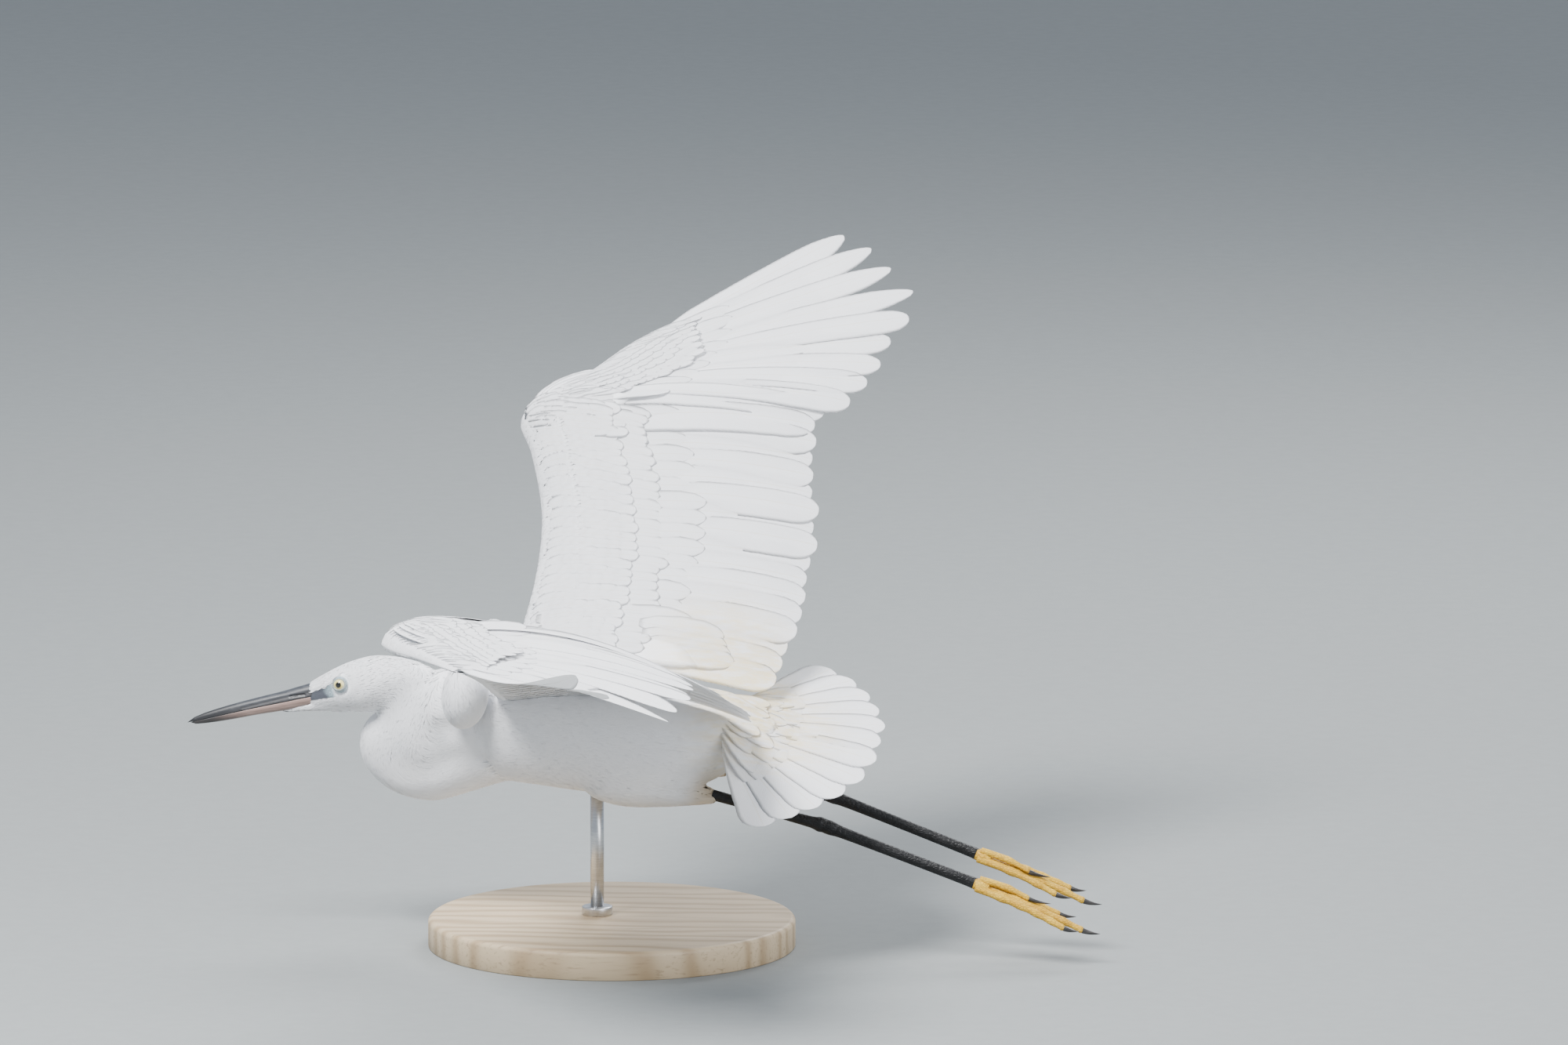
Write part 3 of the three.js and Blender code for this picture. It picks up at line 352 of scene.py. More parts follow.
# Plumage: colours, and the places on the bird, in millimetres, that are stained or tinted, where the rump's cream
# is also a painted warm reflection and the leg tufts' buff is painted shade
plumage = {
    "white": (0.9, 0.9, 0.915),
    "shade": (0.84, 0.85, 0.88),
    "cream": (0.88, 0.75, 0.49),
    # The buff is painted shade on the tufts at the leg roots
    "tuftShadeBuff": (0.8, 0.62, 0.4),
    "lore": (0.34, 0.44, 0.48),
    "dusk": (0.06, 0.065, 0.08),
    "stainsAndReflection": [((-92, -4, 22), 62, 1.1), ((-58, -34, 44), 58, 0.9)],
    "legTuftShade": [((-66, 18, -19), 22), ((-64, -18, -18), 22)],
    "belly": ((-20, 0, -42), 60),
}


def birdBall(paint, centre, radius):
    # 1 at a place on the bird, falling to 0 at a radius, all in the bird's millimetres
    where = paint.node("ShaderNodeTexCoord", output="Object")
    ends = [where, tuple(toRoom(centre))]
    away = paint.node("ShaderNodeVectorMath", {"operation": "DISTANCE"}, ends, output="Value")
    return 1 - away.rise(0.25 * radius / 1000, radius / 1000)


def plumageColour(paint, soft):
    # The same markings on skin, coat and feathers: white, cream where it is stained, with a painted warm
    # reflection in the rump's cream and painted buff shade on the leg tufts
    cloud = paint.noise(paint.place(), 42.0)
    base = paint.mix(cloud.rise(0.35, 0.75) * soft, plumage["white"], plumage["shade"])
    # Cream on the rump and the wing's root: stains, and on the rump also a painted warm reflection
    rump, wingRoot = (birdBall(paint, spot, radius) * amount for spot, radius, amount in plumage["stainsAndReflection"])
    streak = paint.noise(paint.place(scale=(60, 260, 260)), 1.0)
    stainAndReflection = (rump + wingRoot) * streak.rise(0.2, 0.75)
    stainedAndReflecting = paint.mix(stainAndReflection.clamped(), base, plumage["cream"])
    # Painted shade: buff on the tufts at the leg roots, where they lie under the body
    left, right = (birdBall(paint, *spot) for spot in plumage["legTuftShade"])
    withTuftShade = paint.mix(((left + right) * 0.75).clamped(), stainedAndReflecting, plumage["tuftShadeBuff"])
    return paint.mix(birdBall(paint, *plumage["belly"]) * 0.3, withTuftShade, plumage["cream"])


def makeCoatFinish():
    # Small feathers: soft, matt and a little light let through
    paint = Paint(
        "bodyFeathers", Specular_IOR_Level=0.0, Roughness=0.82, Sheen_Weight=0.25, Sheen_Roughness=0.5,
        Subsurface_Weight=0.2, Subsurface_Radius=(1.0, 0.95, 0.9), Subsurface_Scale=0.003,
    )
    paint.feed("Base Color", plumageColour(paint, 0.5))
    return paint.material


def makeSkinFinish():
    # Skin under the coat: feather-coloured, bare and blue-grey on the lores
    paint = Paint("birdSkin", Roughness=0.7)
    lores = paint.mark("lores")
    fine = paint.noise(paint.place(), 900.0)
    bare = paint.mix(fine.rise(0.3, 0.7), plumage["lore"], (0.2, 0.25, 0.28))
    dark = paint.mix(paint.mark("dusk"), bare, plumage["dusk"])
    paint.feed("Base Color", paint.mix(lores, plumageColour(paint, 0.5), dark))
    paint.feed("Roughness", 0.75 - lores * 0.3)
    scales = paint.cells(paint.place(), 1100.0)
    paint.feed("Normal", paint.bump(scales * lores + fine, 0.0002, 0.6))
    return paint.material


def makeVaneFinish():
    # Flight feathers: fine barbs slanting off the shaft, faint bands of shade along the vane
    paint = Paint(
        "flightFeathers", Roughness=0.62, Sheen_Weight=0.15, Specular_IOR_Level=0.0,
        Subsurface_Weight=0.25, Subsurface_Radius=(1.0, 0.97, 0.92), Subsurface_Scale=0.004,
    )
    across, along, _ = paint.apart(paint.uv("vane"))
    slant = along * 260.0 - across.size() * 46.0
    wobble = paint.noise(paint.place(), 160.0)
    barbs = (slant + wobble * 5.0).wave() * 0.5 + 0.5
    banded = paint.node("ShaderNodeCombineXYZ", {}, [across * 2.0, slant * 0.06, 0.0])
    shade = paint.noise(banded, 1.6)
    shaded = paint.mix(shade.rise(0.35, 0.8) * 0.35, plumageColour(paint, 0.35), plumage["shade"])
    shaft = 1 - across.size().rise(0.015, 0.05)
    paint.feed("Base Color", paint.mix(shaft * 0.55, shaded, (0.8, 0.77, 0.7)))
    paint.feed("Normal", paint.bump(barbs * 0.5 + shade, 0.00012, 0.5))
    return paint.material


def makeBillFinish(name, top, low, tip):
    # Horn, in streaks along the bill; the mark "tipward" runs from 0 at the face to 1 at the tip
    paint = Paint(name, Coat_Roughness=0.25)
    tipward = paint.mark("tipward")
    height = paint.mark("height")
    streaks = paint.noise(paint.place(scale=(60, 700, 700)), 1.0, 4.0)
    body = paint.mix(height.rise(0.2, 0.8), low, top)
    paler = tuple(min(1.0, c * 1.7 + 0.02) for c in top)
    worn = paint.mix(streaks.rise(0.4, 0.75) * 0.5, body, paler)
    paint.feed("Base Color", paint.mix(tipward.rise(0.45, 0.85), worn, tip))
    paint.feed("Roughness", 0.3 + streaks * 0.25)
    paint.feed("Coat Weight", 0.25)
    paint.feed("Normal", paint.bump(streaks, 0.00012, 0.5))
    return paint.material


def makeEyeFinish():
    paint = Paint("eyes", Roughness=0.12, IOR=1.4, Coat_Weight=1.0, Coat_Roughness=0.02)
    # Pupil, pale yellow iris and a dark rim; the mark "ring" runs from 0 at the middle outward
    ring = paint.mark("ring")
    spread = paint.node("ShaderNodeCombineXYZ", {}, [paint.mark("turn") * 9.0, ring * 0.8, 0.0])
    rays = paint.noise(spread, 2.0, 3.0)
    stops = [
        (0.0, (0.005, 0.005, 0.006)), (0.30, (0.005, 0.005, 0.006)), (0.33, (0.36, 0.3, 0.1)),
        (0.42, (0.74, 0.63, 0.24)), (0.66, (0.8, 0.74, 0.4)), (0.74, (0.12, 0.11, 0.08)),
        (0.8, (0.03, 0.03, 0.03)),
    ]
    iris = paint.node("ShaderNodeValToRGB", {"stops": stops}, [ring])
    paint.feed("Base Color", paint.mix(rays.rise(0.4, 0.7) * 0.25, iris, (0.5, 0.4, 0.12), "MULTIPLY"))
    return paint.material


def makeLidFinish():
    paint = Paint("eyelids", Roughness=0.5)
    grain = paint.cells(paint.place(), 1600.0)
    paint.feed("Base Color", paint.mix(grain.rise(0.1, 0.6), (0.16, 0.18, 0.18), (0.3, 0.33, 0.33)))
    paint.feed("Normal", paint.bump(grain, 0.0001, 0.6))
    return paint.material


def makeLegFinish(name, dark, pale, scale, gloss):
    # Scaly horn of the legs and feet: small plates with paler joints
    paint = Paint(name, Coat_Roughness=0.3, Specular_IOR_Level=0.35)
    plates = paint.cells(paint.place(scale=(0.6, 1, 1)), scale, "DISTANCE_TO_EDGE")
    cloud = paint.noise(paint.place(), 130.0)
    body = paint.mix(cloud.rise(0.3, 0.7), dark, pale)
    gaps = 1 - plates.rise(0.0, 0.12)
    paint.feed("Base Color", paint.mix(gaps * 0.6, body, tuple(c * 0.5 for c in dark)))
    paint.feed("Roughness", gloss + cloud * 0.2)
    paint.feed("Coat Weight", 0.06)
    paint.feed("Normal", paint.bump(plates.rise(0.0, 0.25), 0.00025, 0.7))
    return paint.material


def makeClawFinish():
    paint = Paint("claws", Coat_Weight=0.3, Coat_Roughness=0.15)
    streaks = paint.noise(paint.place(scale=(120, 800, 800)), 1.0)
    colour = paint.mix(streaks.rise(0.4, 0.7), (0.012, 0.011, 0.011), (0.045, 0.04, 0.036))
    paint.feed("Base Color", colour)
    paint.feed("Roughness", 0.28 + streaks * 0.2)
    paint.feed("Normal", paint.bump(streaks, 0.0001, 0.4))
    return paint.material


def makeWoodFinish():
    paint = Paint("ashWood", Coat_Roughness=0.35)
    # Ash: growth rings bent a little across the board, fine pores along it
    bent = paint.noise(paint.place(scale=(1, 5, 1)), 4.0)
    x, y, _ = paint.apart(paint.place())
    rings = ((y * 62.0 + bent * 3.2 + x * 4.0) * 6.28).wave() * 0.5 + 0.5
    pores = paint.noise(paint.place(scale=(22, 520, 520)), 1.0, 4.0)
    body = paint.mix(rings ** 2.0, (0.56, 0.44, 0.29), (0.4, 0.29, 0.17))
    paint.feed("Base Color", paint.mix(pores.rise(0.52, 0.75) * 0.55, body, (0.24, 0.16, 0.09)))
    paint.feed("Roughness", 0.42 + pores * 0.25)
    paint.feed("Coat Weight", 0.15)
    paint.feed("Normal", paint.bump(pores + rings * 0.3, 0.00015, 0.5))
    return paint.material


def makeSteelFinish():
    paint = Paint("brushedSteel", Metallic=1.0)
    brushed = paint.noise(paint.place(scale=(140, 140, 3000)), 1.0, 3.0)
    paint.feed("Base Color", paint.mix(brushed.rise(0.3, 0.7), (0.5, 0.51, 0.53), (0.66, 0.67, 0.68)))
    paint.feed("Roughness", 0.24 + brushed * 0.16)
    paint.feed("Normal", paint.bump(brushed, 0.00005, 0.4))
    return paint.material


def makeFloorFinish():
    paint = Paint("studioFloor", Roughness=0.9)
    cloud = paint.noise(paint.place(), 90.0)
    paint.feed("Base Color", paint.mix(cloud.rise(0.3, 0.7), (0.245, 0.26, 0.26), (0.255, 0.27, 0.27)))
    return paint.material


finish = {
    "coat": makeCoatFinish(),
    "skin": makeSkinFinish(),
    "vane": makeVaneFinish(),
    "billUpper": makeBillFinish(
        "billSlate", (0.035, 0.038, 0.045), (0.05, 0.048, 0.05), (0.016, 0.016, 0.018)),
    "billLower": makeBillFinish("billHorn", (0.2, 0.14, 0.12), (0.3, 0.2, 0.17), (0.025, 0.022, 0.022)),
    "eye": makeEyeFinish(),
    "lid": makeLidFinish(),
    "leg": makeLegFinish("legBlack", (0.003, 0.003, 0.0035), (0.009, 0.009, 0.01), 620.0, 0.42),
    "toe": makeLegFinish("toeYellow", (0.5, 0.27, 0.014), (0.64, 0.4, 0.04), 700.0, 0.5),
    "claw": makeClawFinish(),
    "wood": makeWoodFinish(),
    "steel": makeSteelFinish(),
    "floor": makeFloorFinish(),
}
print("finishes made:", len(finish))


# Body: tables of the part's source, with the skin set in by the depth of the coat.
# Rows hold places along the body and half widths: x, z, wide, up and down, or fewer where alike.
body = {
    "coat": 1.6, "headCoat": 0.8, "thighCoat": 1.2, "chinCoat": 0.6,
    "voxel": 0.0013, "smoothing": 14, "foldSmoothing": 45,
}
trunkRows = [
    [91, 1, 2, 2, 2], [86, 1, 9, 9, 10], [78, 2, 21, 20, 24], [62, 4, 31, 31, 35], [40, 6, 35, 36, 37],
    [18, 6.5, 36, 37, 37.5], [-6, 7, 35.5, 36.5, 37.5], [-30, 8.5, 32.5, 34, 37], [-52, 12, 28, 28, 33],
    [-70, 17, 23, 21.5, 26], [-86, 20.5, 17, 10.5, 13], [-98, 21, 11, 5, 5.5],
]
neckRows = [
    [117, 27, 9.5, 12], [120, 17, 13, 16.5], [122, 6, 15.5, 18.8], [123.5, -7, 17, 18.2], [131, -20, 19, 21.3],
    [124, -31, 20, 20], [108, -34.5, 21.5, 18.5], [92, -27, 24, 19.5], [74, -12, 27, 26],
]
headRows = [
    [-29, -2, 6.5, 6.5, 8], [-21, -1, 11.5, 10.8, 13], [-10, 0, 14.4, 14.8, 16], [3, 1, 15.2, 17, 17],
    [14, 1.5, 14.4, 16.2, 16], [23, 2, 12.2, 14.2, 14.5], [31, 2, 9.8, 12, 12.6], [38, 2, 7.6, 9.8, 11],
    [44, 2, 6.2, 7.6, 9.4],
]
chinRows = [
    [26, -7, 6.8, 5.6], [36, -5.6, 5.6, 4.4], [47, -4.6, 4.2, 3.2], [57, -4.3, 2.8, 2.1], [66, -4.2, 1.2, 1.0],
]
thighRows = [
    [0, 6, 9], [0.14, 11.5, 15.5], [0.35, 12.5, 17], [0.6, 10.5, 13.5], [0.82, 7.6, 9.2], [1, 4.6, 5.4],
]
legs = [
    {
        "side": 1, "name": "left",
        "tuft": [-68, 18, -17.5], "ankle": [-133, 18, -27], "heel": [-228.6, 18, -51.8],
    },
    {
        "side": -1, "name": "right",
        "tuft": [-66, -18, -16.5], "ankle": [-126.5, -18, -23.8], "heel": [-221.6, -18, -50.2],
    },
]
knee = [12, 23, -11]
shoulder = {"centre": [82, 31, 31.5], "radii": [14, 20, 21]}
# Loose feathers fill the folds where the neck bends back over the breast: balls by centre and radii,
# and lines with a reach round which the skin is softened
neckFolds = [([108, 0, -11], [31, 22.5, 30]), ([98, 0, 8], [22, 25, 22]), ([86, 0, -3], [21, 26.5, 20])]
softFolds = [
    ([[122, 14, 4], [120, 16, -18], [108, 20, -22], [92, 22, -10]], 27),
    ([[14, 28, -8], [-30, 30, 0], [-60, 24, 2]], 17),
    ([[-30, 28, -4], [-52, 24, -7], [-68, 20, -5]], 14),
]
eyeSpot = {
    "centre": [24, 8.7, 6], "radius": 4.8, "opening": 3.4, "outward": [0.16, 1, 0.12],
    "rim": 0.35, "sunk": 1.6, "surround": 8.0,
}
# Lines on the face, in the head's frame, with the half width and depth of the form along each
face = {
    "mouth": [[50, 5.6, 1.4], [40, 7.4, 0.6], [33, 9.6, -1.2], [27.5, 11.4, -3.4]],
    "mouthForm": (0.75, -0.65), "mouthMark": 1.4, "mouthEnd": 26.5,
    "brow": [[16, 10, 11.4], [24, 10.4, 12.2], [34, 7.6, 9.4]], "browForm": (2.4, 0.35),
    "hollow": [[33, 9, 3.6], [42, 6.4, 3.4]], "hollowForm": (3.0, -0.75),
    "dusk": [[42, 7, 1.6], [34, 9.2, -0.8], [29, 11, -2.6]], "duskWidth": 1.9,
}


def middleLine(x, z):
    # Points in the bird's middle plane
    return np.stack([x, 0 * x, z], -1)


def trunkShape(inset):
    x, z, wide, up, down = smoothRows(trunkRows, np.linspace(0, 1, 44)).T
    centres = middleLine(x, z)
    wide, up, down = (np.maximum(v - inset, 0.8) for v in (wide, up, down))
    return loftShape(ovalRings(centres, [0, 1, 0], [0, 0, 1], wide, up, down, 48, 0.93))


def neckLine(places):
    # Centres, ways and half widths of the folded neck
    x, z, wide, deep = smoothRows(neckRows, places).T
    centres = middleLine(x, z)
    along = unit(np.gradient(centres, axis=0))
    return centres, along, wide, deep


def neckShape(inset):
    centres, along, wide, deep = neckLine(np.linspace(0, 1, 48))
    above = np.cross(along, [0, 1, 0])
    rings = ovalRings(centres, [0, 1, 0], above, wide - inset, deep - inset, deep - inset, 44)
    return loftShape(rings)


def headShape(inset):
    x, z, wide, up, down = smoothRows(headRows, np.linspace(0, 1, 36)).T
    sizes = (size - inset for size in (wide, up, down))
    rings = ovalRings(middleLine(x, z), [0, 1, 0], [0, 0, 1], *sizes, 40)
    shape = loftShape(rings, [-33 + inset, 0, -3], [49, 0, 1.6])
    shape["points"] = fromHead(shape["points"])
    return shape


def chinShape(inset):
    # The feathered point that runs out below the bill
    x, z, wide, deep = smoothRows(chinRows, np.linspace(0, 1, 16)).T
    wide, deep = (np.maximum(v - inset, 0.5) for v in (wide, deep))
    shape = loftShape(ovalRings(middleLine(x, z), [0, 1, 0], [0, 0, 1], wide, deep, deep, 18))
    shape["points"] = fromHead(shape["points"])
    return shape


def limbFrame(start, end):
    # Ways across and above a limb
    axis = unit(np.subtract(end, start))
    across = unit(-np.cross(np.cross([0, 1, 0], axis), axis))
    above = unit(np.cross(axis, across))
    return across, above if above[2] > 0 else -above


def limbShape(start, end, rows, count, stations, inset):
    across, above = limbFrame(start, end)
    share, wide, deep = smoothRows(rows, np.linspace(0, 1, stations)).T
    centres = np.asarray(start, float) + share[:, None] * np.subtract(end, start)
    return loftShape(ovalRings(centres, across, above, wide - inset, deep - inset, deep - inset, count))


def ballShape(centre, radii, count=28):
    angle = np.linspace(0, np.pi, count // 2 + 2)[1:-1]
    centres = np.asarray(centre, float) + np.outer(np.cos(angle), [radii[0], 0, 0])
    wide, tall = np.sin(angle) * radii[1], np.sin(angle) * radii[2]
    rings = ovalRings(centres, [0, 1, 0], [0, 0, 1], wide, tall, tall, count)
    tips = [np.asarray(centre) + [side * radii[0], 0, 0] for side in (1, -1)]
    return loftShape(rings, tips[0], tips[1])


def thighEnds(leg):
    return [knee[0], leg["side"] * knee[1], knee[2]], leg["tuft"]


def skinSource():
    # Overlapping shapes that the skin is drawn round
    inset = body["coat"]
    shapes = [trunkShape(inset), neckShape(inset), headShape(body["headCoat"]), chinShape(body["chinCoat"])]
    shapes += [ballShape(*fold) for fold in neckFolds]
    for leg in legs:
        start, end = thighEnds(leg)
        shapes.append(limbShape(start, end, thighRows, 24, 24, body["thighCoat"]))
        x, y, z = shoulder["centre"]
        shapes.append(ballShape([x, leg["side"] * y, z], np.subtract(shoulder["radii"], inset)))
    return together(shapes)


def fused(name, shape, voxel):
    # One closed surface round overlapping shapes, by voxel remesh
    source = addPiece(name, shape, finish["skin"], None, smooth=False)
    remesh = source.modifiers.new("fuse", "REMESH")
    remesh.mode = "VOXEL"
    remesh.voxel_size = voxel
    graph = bpy.context.evaluated_depsgraph_get()
    mesh = bpy.data.meshes.new_from_object(source.evaluated_get(graph))
    bpy.data.objects.remove(source)
    return mesh


def meshArrays(mesh):
    points = np.empty(len(mesh.vertices) * 3)
    mesh.vertices.foreach_get("co", points)
    mesh.calc_loop_triangles()
    faces = np.empty(len(mesh.loop_triangles) * 3, np.int32)
    mesh.loop_triangles.foreach_get("vertices", faces)
    return points.reshape(-1, 3), faces.reshape(-1, 3)


def toBird(points):
    return (np.asarray(points) * 1000 - birdPlace) @ birdTurn


def edgesOf(faces):
    edges = np.vstack([faces[:, [0, 1]], faces[:, [1, 2]], faces[:, [2, 0]]])
    return np.unique(np.sort(edges, axis=1), axis=0)


def relaxed(points, edges, rounds, amount=0.5, back=1.03):
    # Each point moves part of the way to the middle of its neighbours, then a little back,
    # which keeps the size; with back below 0 both moves go the same way and folds fill
    count = np.bincount(edges.ravel(), minlength=len(points))[:, None]
    for step in range(rounds * 2):
        total = np.zeros_like(points)
        for a, b in ((0, 1), (1, 0)):
            for axis in range(3):
                total[:, axis] += np.bincount(edges[:, a], points[edges[:, b], axis], len(points))
        share = amount if step % 2 == 0 else -amount * back
        points = points + (total / count - points) * share
    return points


def normalsOf(points, faces):
    a, b, c = (points[faces[:, k]] for k in range(3))
    flat = np.cross(b - a, c - a)
    normals = np.zeros_like(points)
    for k in range(3):
        for axis in range(3):
            normals[:, axis] += np.bincount(faces[:, k], flat[:, axis], len(points))
    return unit(normals)


def mirrored(points):
    # Points of both sides, brought to the left one
    return points * [1, 0, 1] + np.abs(points) * [0, 1, 0]


def refined(points, faces, chosen):
    # Splits each chosen triangle in four, and its neighbours where they share a split edge
    split = np.zeros(len(points), bool)
    split[faces[chosen].ravel()] = True
    mesh = bmesh.new()
    made = [mesh.verts.new(p) for p in points]
    for face in faces:
        mesh.faces.new([made[k] for k in face])
    mesh.verts.index_update()
    edges = [e for e in mesh.edges if split[e.verts[0].index] and split[e.verts[1].index]]
    bmesh.ops.subdivide_edges(mesh, edges=edges, cuts=1, use_grid_fill=True)
    bmesh.ops.triangulate(mesh, faces=mesh.faces)
    mesh.verts.index_update()
    points = np.array([v.co for v in mesh.verts])
    faces = np.array([[v.index for v in f.verts] for f in mesh.faces], np.int32)
    mesh.free()
    return points, faces


def nearLine(points, line):
    # Distance from points to a chain of short straight pieces
    best = np.full(len(points), 1e9)
    for a, b in zip(line[:-1], line[1:]):
        a, b = np.asarray(a, float), np.asarray(b, float)
        t = np.clip((points - a) @ (b - a) / np.dot(b - a, b - a), 0, 1)
        best = np.minimum(best, np.linalg.norm(points - a - t[:, None] * (b - a), axis=1))
    return best


def ridge(points, line, width):
    # 1 on a line, falling to 0 on both sides of it
    return np.exp(-((nearLine(points, line) / width) ** 2))


def faceDetail(points, normals):
    # Lids' surround, mouth line, hollow and brow, worked in the head's frame, and the marks for colour
    p, n = toHead(points), normals @ headTurn
    side = np.where(p[:, 1] < 0, -1.0, 1.0)
    flip = np.stack([np.ones_like(side), side, np.ones_like(side)], -1)
    q = p * flip
    outward = unit(eyeSpot["outward"])
    away = q - np.array(eyeSpot["centre"], float)
    depth = away @ outward
    ring = np.linalg.norm(away - depth[:, None] * outward, axis=1)
    near = (depth > 0) & (q[:, 0] > 5)
    ball = np.sqrt(np.maximum(eyeSpot["radius"] ** 2 - ring**2, 0))
    opening = eyeSpot["opening"]
    hole = near * (1 - ease(ring, opening - 0.5, opening - 0.1))
    collar = near * ease(ring, opening - 0.5, opening) * (1 - ease(ring, 4.0, eyeSpot["surround"]))
    target = np.where(hole > 0.5, ball - eyeSpot["sunk"], ball + eyeSpot["rim"])
    q = q + ((target - depth) * np.maximum(hole, collar * 0.9))[:, None] * outward
    # The mouth's corner runs back from the bill to below the eye
    behind = q[:, 0] > face["mouthEnd"]
    lift = 0
    for line, where in (("brow", 1), ("hollow", 1), ("mouth", behind)):
        width, amount = face[line + "Form"]
        lift = lift + amount * ridge(q, face[line], width) * where
    q = q + (n * lift[:, None]) * flip
    # Bare lores from the bill to round the eye, darker near the bill and the mouth line
    x, y, z = q.T
    bare = ease(x, 27.0, 30.5) * ease(z, -1.8, -0.4) * (1 - ease(z + 0.24 * (x - 27), 7.4, 8.6))
    orbit = near * (1 - ease(ring, 4.4, 5.2)) * (x > 8)
    mouth = ridge(q, face["mouth"], face["mouthMark"]) * (x > face["mouthEnd"])
    lores = np.maximum(np.maximum(bare * (np.abs(y) > 1.6), orbit), ease(mouth, 0.5, 0.8))
    dusk = ridge(q, face["dusk"], face["duskWidth"]) + ease(x, 31, 37)
    return fromHead(q * flip), {"lores": lores, "dusk": np.minimum(dusk, 1)}


def faceRegion(points, closer):
    # Where the skin is refined: the face, then more closely the eye and the mouth line
    q = mirrored(toHead(points))
    front = (q[:, 0] > 8) & (q[:, 0] < 62) & (np.abs(q[:, 2]) < 18) & (q[:, 1] < 16)
    if not closer:
        return front
    eye = np.linalg.norm(q - eyeSpot["centre"], axis=1) < 8.5
    return front & (eye | (nearLine(q, [face["mouth"][0], face["mouth"][-1]]) < 2.2))


def makeSkin():
    mesh = fused("skinSource", skinSource(), body["voxel"])
    points, faces = meshArrays(mesh)
    bpy.data.meshes.remove(mesh)
    points = toBird(points)
    edges = edgesOf(faces)
    points = relaxed(points, edges, body["smoothing"])
    # The folds of neck and thigh are filled by loose feathers, so they are softened
    near = np.min([nearLine(mirrored(points), line) / reach for line, reach in softFolds], axis=0)
    share = (1 - ease(near, 0.55, 1))[:, None]
    points = lerp(points, relaxed(points, edges, body["foldSmoothing"], 0.5, -1), share)
    for closer in (False, True):
        chosen = np.nonzero(faceRegion(points, closer)[faces].all(axis=1))[0]
        points, faces = refined(points, faces, chosen)
        points = relaxed(points, edgesOf(faces), 2)
    points, marks = faceDetail(points, normalsOf(points, faces))
    return {"points": points, "faces": faces, "normals": normalsOf(points, faces), "marks": marks}


skin = makeSkin()
print("skin:", len(skin["faces"]), "triangles")


# The coat: length, width and depth of the tufts from the first place of a chain to its last. "keep" is
# the share of the skin's points with a tuft, "sheet" left, bottom, width and height on the baked map.
coat = {
    "head": {
        "length": (2.6, 7.0), "wide": (0.6, 1.1), "depth": (0.45, 0.75),
        "keep": 0.9, "sheet": (0, 0.5, 0.5, 0.5),
        "look": {"spacing": 0.8, "spread": 0.08, "curl": 0.08, "lift": (0.85, 1.1)},
    },
    "neck": {
        "length": (9.0, 16.0), "wide": (1.2, 1.7), "depth": (0.85, 1.15),
        "keep": 0.8, "sheet": (0.5, 0.0, 0.5, 0.5),
        "look": {"spacing": 1.2, "spread": 0.1, "curl": 0.1, "lift": (0.9, 1.08)},
    },
    "trunk": {
        "length": (17.0, 15.0), "wide": (1.9, 1.9), "depth": (1.5, 1.5),
        "keep": 0.72, "sheet": (0, 0, 0.5, 0.5),
        "look": {"spacing": 1.2, "spread": 0.08, "curl": 0.1, "lift": (0.92, 1.06)},
    },
    "thighs": {
        "length": (12.0, 10.0), "wide": (1.5, 1.2), "depth": (1.1, 1.0),
        "keep": 0.75, "sheet": (0.5, 0.5, 0.25, 0.5),
        "look": {"spacing": 1.2, "spread": 0.1, "curl": 0.12, "lift": (0.92, 1.08)},
    },
}
# A tuft: three rings of three points and a tip, by share of its length; its height and width there
tuft = {
    "shares": (0.0, 0.36, 0.72, 1.0), "heights": (-0.3, 0.3, 0.56, 0.75), "widths": (0.55, 1.0, 0.8, 0.0),
    "ridge": 0.2, "patch": 0.003, "perPiece": 7916, "faceKeep": 0.42,
}


def chain(name, points, along, radius, aside=0.0):
    # A line of places through the bird, with the way that the feathers point there
    share = np.linspace(0, 1, len(points))
    sizes = [lerp(*coat[name][key], share) for key in ("length", "wide", "depth")]
    along, level = (np.broadcast_to(v, points.shape) for v in (along, [0.0, 1, 0]))
    across = level if name == "neck" else unit(np.cross(along, [0.01, 0, 1]))
    return {
        "points": points, "along": unit(along), "radius": radius, "sizes": np.stack(sizes, -1), "name": name,
        "across": across, "above": unit(np.cross(across, along)),
        "sheet": np.add(coat[name]["sheet"], (aside, 0, 0, 0)),
    }


def makeChains():
    made = []
    x, z, wide, up, _ = smoothRows(headRows, np.linspace(1, 0, 22)).T
    made.append(chain("head", fromHead(middleLine(x, z)), headTurn @ [-1, 0, 0], (wide + up) / 2))
    centres, along, wide, deep = neckLine(np.linspace(0.02, 0.97, 30))
    made.append(chain("neck", centres, along, (wide + deep) / 2))
    x, z, wide, up, _ = smoothRows(trunkRows, np.linspace(0.1, 1, 34)).T
    made.append(chain("trunk", middleLine(x, z), [-1.0, 0, 0.04], (wide + up) / 2))
    for leg, aside in zip(legs, (0, 0.25)):
        start, end = (np.asarray(v, float) for v in thighEnds(leg))
        share, wide, deep = smoothRows(thighRows, np.linspace(0.12, 1, 14)).T
        points = start + share[:, None] * (end - start)
        made.append(chain("thighs", points, unit(end - start), (wide + deep) / 2, aside))
    return made


chains = makeChains()


def dot(a, b):
    return np.einsum("ij,ij->i", a, b)


def lieOf(points):
    # Way, sizes and place on the chains for each point
    ways, sizes, total = np.zeros_like(points), np.zeros_like(points), np.zeros(len(points))
    best = np.full(len(points), 1e9)
    which, node = np.zeros(len(points), int), np.zeros(len(points), int)
    for index, one in enumerate(chains):
        for k, centre in enumerate(one["points"]):
            gap = np.linalg.norm(points - centre, axis=1) / one["radius"][k]
            weight = (1 / np.maximum(gap, 0.3)) ** 10
            ways += weight[:, None] * one["along"][k]
            sizes += weight[:, None] * one["sizes"][k]
            total += weight
            closer = gap < best
            best[closer], which[closer], node[closer] = gap[closer], index, k
    return unit(ways), sizes / total[:, None], which, node


